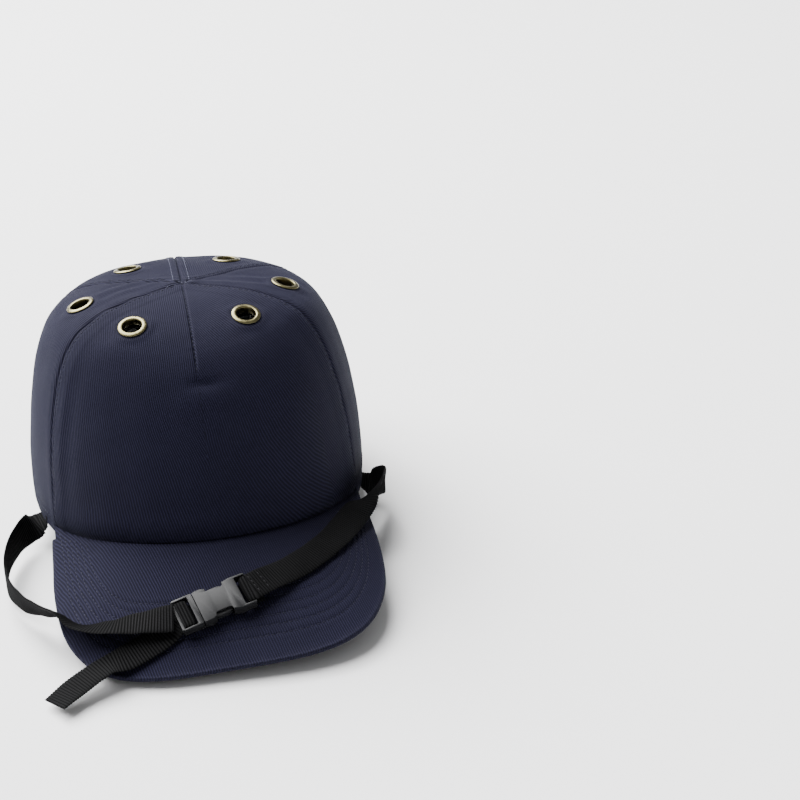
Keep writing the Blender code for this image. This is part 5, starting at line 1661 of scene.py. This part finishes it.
# cross rows at the flap's free end
for x in (-27.8, -6.5):
    zz = np.linspace(-7.6, 7.6, 60)
    P = back_point(np.full(60, x), STRAP_Z + zz, np.full(60, -wrap_r - STRAP_T / 2))
    P2 = back_point(np.full(60, x), STRAP_Z + zz, np.full(60, -wrap_r - STRAP_T / 2 - 1.0))
    sew("flap", P, unit(P2 - P), seed=431)
Q, V = rear_path([(x, -wrap_r + STRAP_T / 2 + 0.3 + 0.35) for x in np.linspace(-5, -29, 12)])
strap("hook_patch_tape", Q, V, STRAP_H - 3, 0.55, "hook_loop", "rear_flap", ("hook_patch",), step=0.8, cols=11)
Q, V = rear_path([(x, 2.1 - STRAP_T / 2 - 0.3 - 0.45) for x in np.linspace(-30, 6, 16)])
strap("loop_patch_tape", Q, V, STRAP_H - 3, 0.8, "hook_loop", "cap", ("loop_patch",), step=0.8, cols=11, soft=0.1, seed=405)
tr = RING_R + 0.3 + 0.45
path = [(44, 3.75), (38, 3.75), (34, 3.7), (30.8, 3.3), (28.8, 2.3)]
path += [(BAR_T - tr * math.sin(a), tr * math.cos(a)) for a in np.linspace(0, math.pi, 9)]
path += [(28.2, -1.8), (29.3, -0.7), (30.2, 0.9), (31.2, 2.0), (32.6, 2.3), (38, 2.35), (44, 2.35)]
Q, V = rear_path(path)
strap("ring_tab_cloth", Q, V, STRAP_H - 3, 0.9, "navy_tape", "cap", ("ring_tab",), step=0.5, cols=13)

# small hooks standing on the hook tape
rings = []
for i, x in enumerate(np.arange(-28.0, -5.8, 1.5)):
    for j, z in enumerate(np.arange(-7.3, 7.4, 1.3)):
        xx = x + 0.4 * (j % 2)
        base = back_point(xx, STRAP_Z + z, -wrap_r + STRAP_T / 2 + 0.3 + 0.55)
        tip = back_point(xx, STRAP_Z + z, -wrap_r + STRAP_T / 2 + 0.3 + 0.90)
        n = unit(tip - base)
        t = unit(np.cross(n, (0, 0, 1.0)))
        s = np.cross(n, t)
        ang = np.linspace(0, 2 * math.pi, 5, endpoint=False)
        c = [base, base + n * 0.22, base + n * 0.36 + t * 0.10, base + n * 0.30 + t * 0.26]
        rings.append([[q + (s * math.cos(a) + (t if k < 2 else n) * math.sin(a)) * r for a in ang] for k, (q, r) in enumerate(zip(c, (0.12, 0.10, 0.09, 0.05)))])
THREADS["hooks"] = rings
finish_threads("hooks", "hook_patch_hooks", "hook_loop", body="rear_flap")
finish_threads("rear", "rear_strap_stitching", "thread_navy")
finish_threads("flap", "rear_flap_stitching", "thread_navy", body="rear_flap")

# ring: a rectangular loop of moulded plastic
rc = back_point(RING_X, STRAP_Z, 0.0)
rt = back_point(RING_X + 3, STRAP_Z, 0.0) - back_point(RING_X - 3, STRAP_Z, 0.0)
rt[2] = 0
rt = unit(rt)
rn = np.cross(rt, (0, 0, 1.0))
hh, rr_ = STRAP_H / 2 + 0.6 + RING_R, 1.8
pts, outw = [], []
for cx, cz, a0 in ((RING_HALF - rr_, hh - rr_, 0), (-RING_HALF + rr_, hh - rr_, 90), (-RING_HALF + rr_, -hh + rr_, 180), (RING_HALF - rr_, -hh + rr_, 270)):
    for a in np.linspace(0, 90, 9):
        t = math.radians(a0 + a)
        pts.append(rc + rt * (cx + rr_ * math.cos(t)) + np.array([0, 0, 1.0]) * (cz + rr_ * math.sin(t)))
        outw.append(rt * math.cos(t) + np.array([0, 0, 1.0]) * math.sin(t))
pts, outw = np.array(pts), np.array(outw)
ang = np.linspace(0, 2 * math.pi, 20, endpoint=False)
R = pts[:, None] + RING_R * (outw[:, None] * np.cos(ang)[None, :, None] + rn[None, None] * np.sin(ang)[None, :, None])
n, m = R.shape[:2]
idx = np.arange(n * m).reshape(n, m)
down = np.roll(idx, -1, 0)
F = np.stack([idx, np.roll(idx, -1, 1), np.roll(down, -1, 1), down], -1).reshape(-1, 4).tolist()
build("rear_ring_moulding", R.reshape(-1, 3), F, "buckle_plastic", replaces=("rear_ring",))

# bound edge of the arch
sec = [(5.5, -0.35), (5.5, -1.0), (2.2, -1.08), (-0.5, -1.0), (-1.1, -0.5), (-1.1, 1.9), (-0.5, 2.35), (2.2, 2.4), (5.5, 2.35), (5.5, 1.65), (-0.4, 1.65), (-0.4, -0.35)]
rings, uvs = [], []
al = np.linspace(math.radians(17), math.radians(163), int(190 / FINE))
for i, a in enumerate(al):
    ex, ez = math.cos(a) * OPEN_RISE, math.sin(a) * OPEN_HALF
    k = 1 / math.hypot(ex, ez)
    x, z = OPEN_HALF * math.cos(a), OPEN_STRAIGHT + OPEN_RISE * math.sin(a)
    pk = 0.12 * math.sin(i * 1.7) + 0.1 * math.sin(i * 0.63 + 1)
    rings.append([back_point(x + ex * k * r, z + ez * k * r, d + (pk if d < 0 else 0) * 0.4) for r, d in sec])
    uvs.append([(r + d, i * 0.52) for r, d in sec])
V, F = tube(np.array(rings))
build("rear_opening_binding_cloth", V, F, "navy_tape", uv=np.array(uvs).reshape(-1, 2), replaces=("rear_opening_binding",), angle=60)
for r, f, seed in ((4.4, -1.06, 441), (4.4, 2.42, 442)):
    A = []
    B = []
    for a in np.linspace(math.radians(18), math.radians(162), 260):
        ex, ez = math.cos(a) * OPEN_RISE, math.sin(a) * OPEN_HALF
        k = 1 / math.hypot(ex, ez)
        x, z = OPEN_HALF * math.cos(a) + ex * k * r, OPEN_STRAIGHT + OPEN_RISE * math.sin(a) + ez * k * r
        A.append(back_point(x, z, f))
        B.append(back_point(x, z, f + (-1 if f < 0 else 1)))
    A, B = np.array(A), np.array(B)
    sew("bind", A, unit(B - A), seed=seed)
finish_threads("bind", "rear_binding_stitching", "thread_navy")

# carried-over nodes keep their mesh and take a patterned finish
for name in ("visor_board",):
    o = frame["nodes"][name]
    o.data.materials.clear()
    o.data.materials.append(MATS["visor_board"])

# ------------------------------------------------------------------ floor, light, camera
lo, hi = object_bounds()
floor_z = lo.z - 0.0002
me = bpy.data.meshes.new("floor")
me.from_pydata([(-9, -9, floor_z), (9, -9, floor_z), (9, 14, floor_z), (-9, 14, floor_z)], [], [(0, 1, 2, 3)])
floor = bpy.data.objects.new("floor", me)
bpy.context.scene.collection.objects.link(floor)
fm = bpy.data.materials.new("paper")
fm.use_nodes = True
fb = fm.node_tree.nodes["Principled BSDF"]
fb.inputs["Base Color"].default_value = (0.86, 0.86, 0.865, 1)
fb.inputs["Roughness"].default_value = 0.9
fb.inputs["Specular IOR Level"].default_value = 0.15
me.materials.append(fm)

sc = bpy.context.scene
w = bpy.data.worlds.new("studio")
sc.world = w
w.use_nodes = True
bg = w.node_tree.nodes.get("Background") or w.node_tree.nodes.new("ShaderNodeBackground")
bg.inputs["Color"].default_value = (1.0, 1.0, 1.0, 1)
bg.inputs["Strength"].default_value = 0.38


def lamp(name, at, to, size, power, colour=(1, 1, 1), size_y=None):
    d = bpy.data.lights.new(name, "AREA")
    d.shape = "RECTANGLE"
    d.size, d.size_y = size, size_y or size
    d.energy = power
    d.color = colour
    o = bpy.data.objects.new(name, d)
    o.location = at
    o.rotation_mode = "QUATERNION"
    o.rotation_quaternion = (Vector(to) - Vector(at)).to_track_quat("-Z", "Y")
    sc.collection.objects.link(o)
    return o


sd = bpy.data.lights.new("wide_soft_sky", "SUN")
sd.energy = 11.2
sd.angle = math.radians(62)
so = bpy.data.objects.new("wide_soft_sky", sd)
so.rotation_mode = "QUATERNION"
so.rotation_quaternion = Vector((0.52, -0.58, -1.0)).to_track_quat("-Z", "Y")
sc.collection.objects.link(so)
lamp("soft_left", (-1.7, 0.5, 1.0), (0, -0.02, 0.06), 0.9, 8)
lamp("soft_top_rear", (-0.45, 1.05, 1.05), (0, 0.0, 0.09), 0.8, 33)

tilt = Matrix.Rotation(math.radians(CAP_TILT), 3, "X")
right = tilt @ Vector((0.981172, -0.187595, -0.045932))
down = tilt @ Vector((-0.116086, -0.382752, -0.916529))
fwd = tilt @ Vector((0.154355, 0.904604, -0.397323))
rot = Matrix((right, -down, -fwd)).transposed()
cd = bpy.data.cameras.new("camera")
cd.lens = 81.0
cd.sensor_width = 36.0
cam = bpy.data.objects.new("camera", cd)
cam.matrix_world = Matrix.Translation(Vector(path_to_world((-41.89, -930.40, 442.62)))) @ rot.to_4x4()
sc.collection.objects.link(cam)
sc.camera = cam
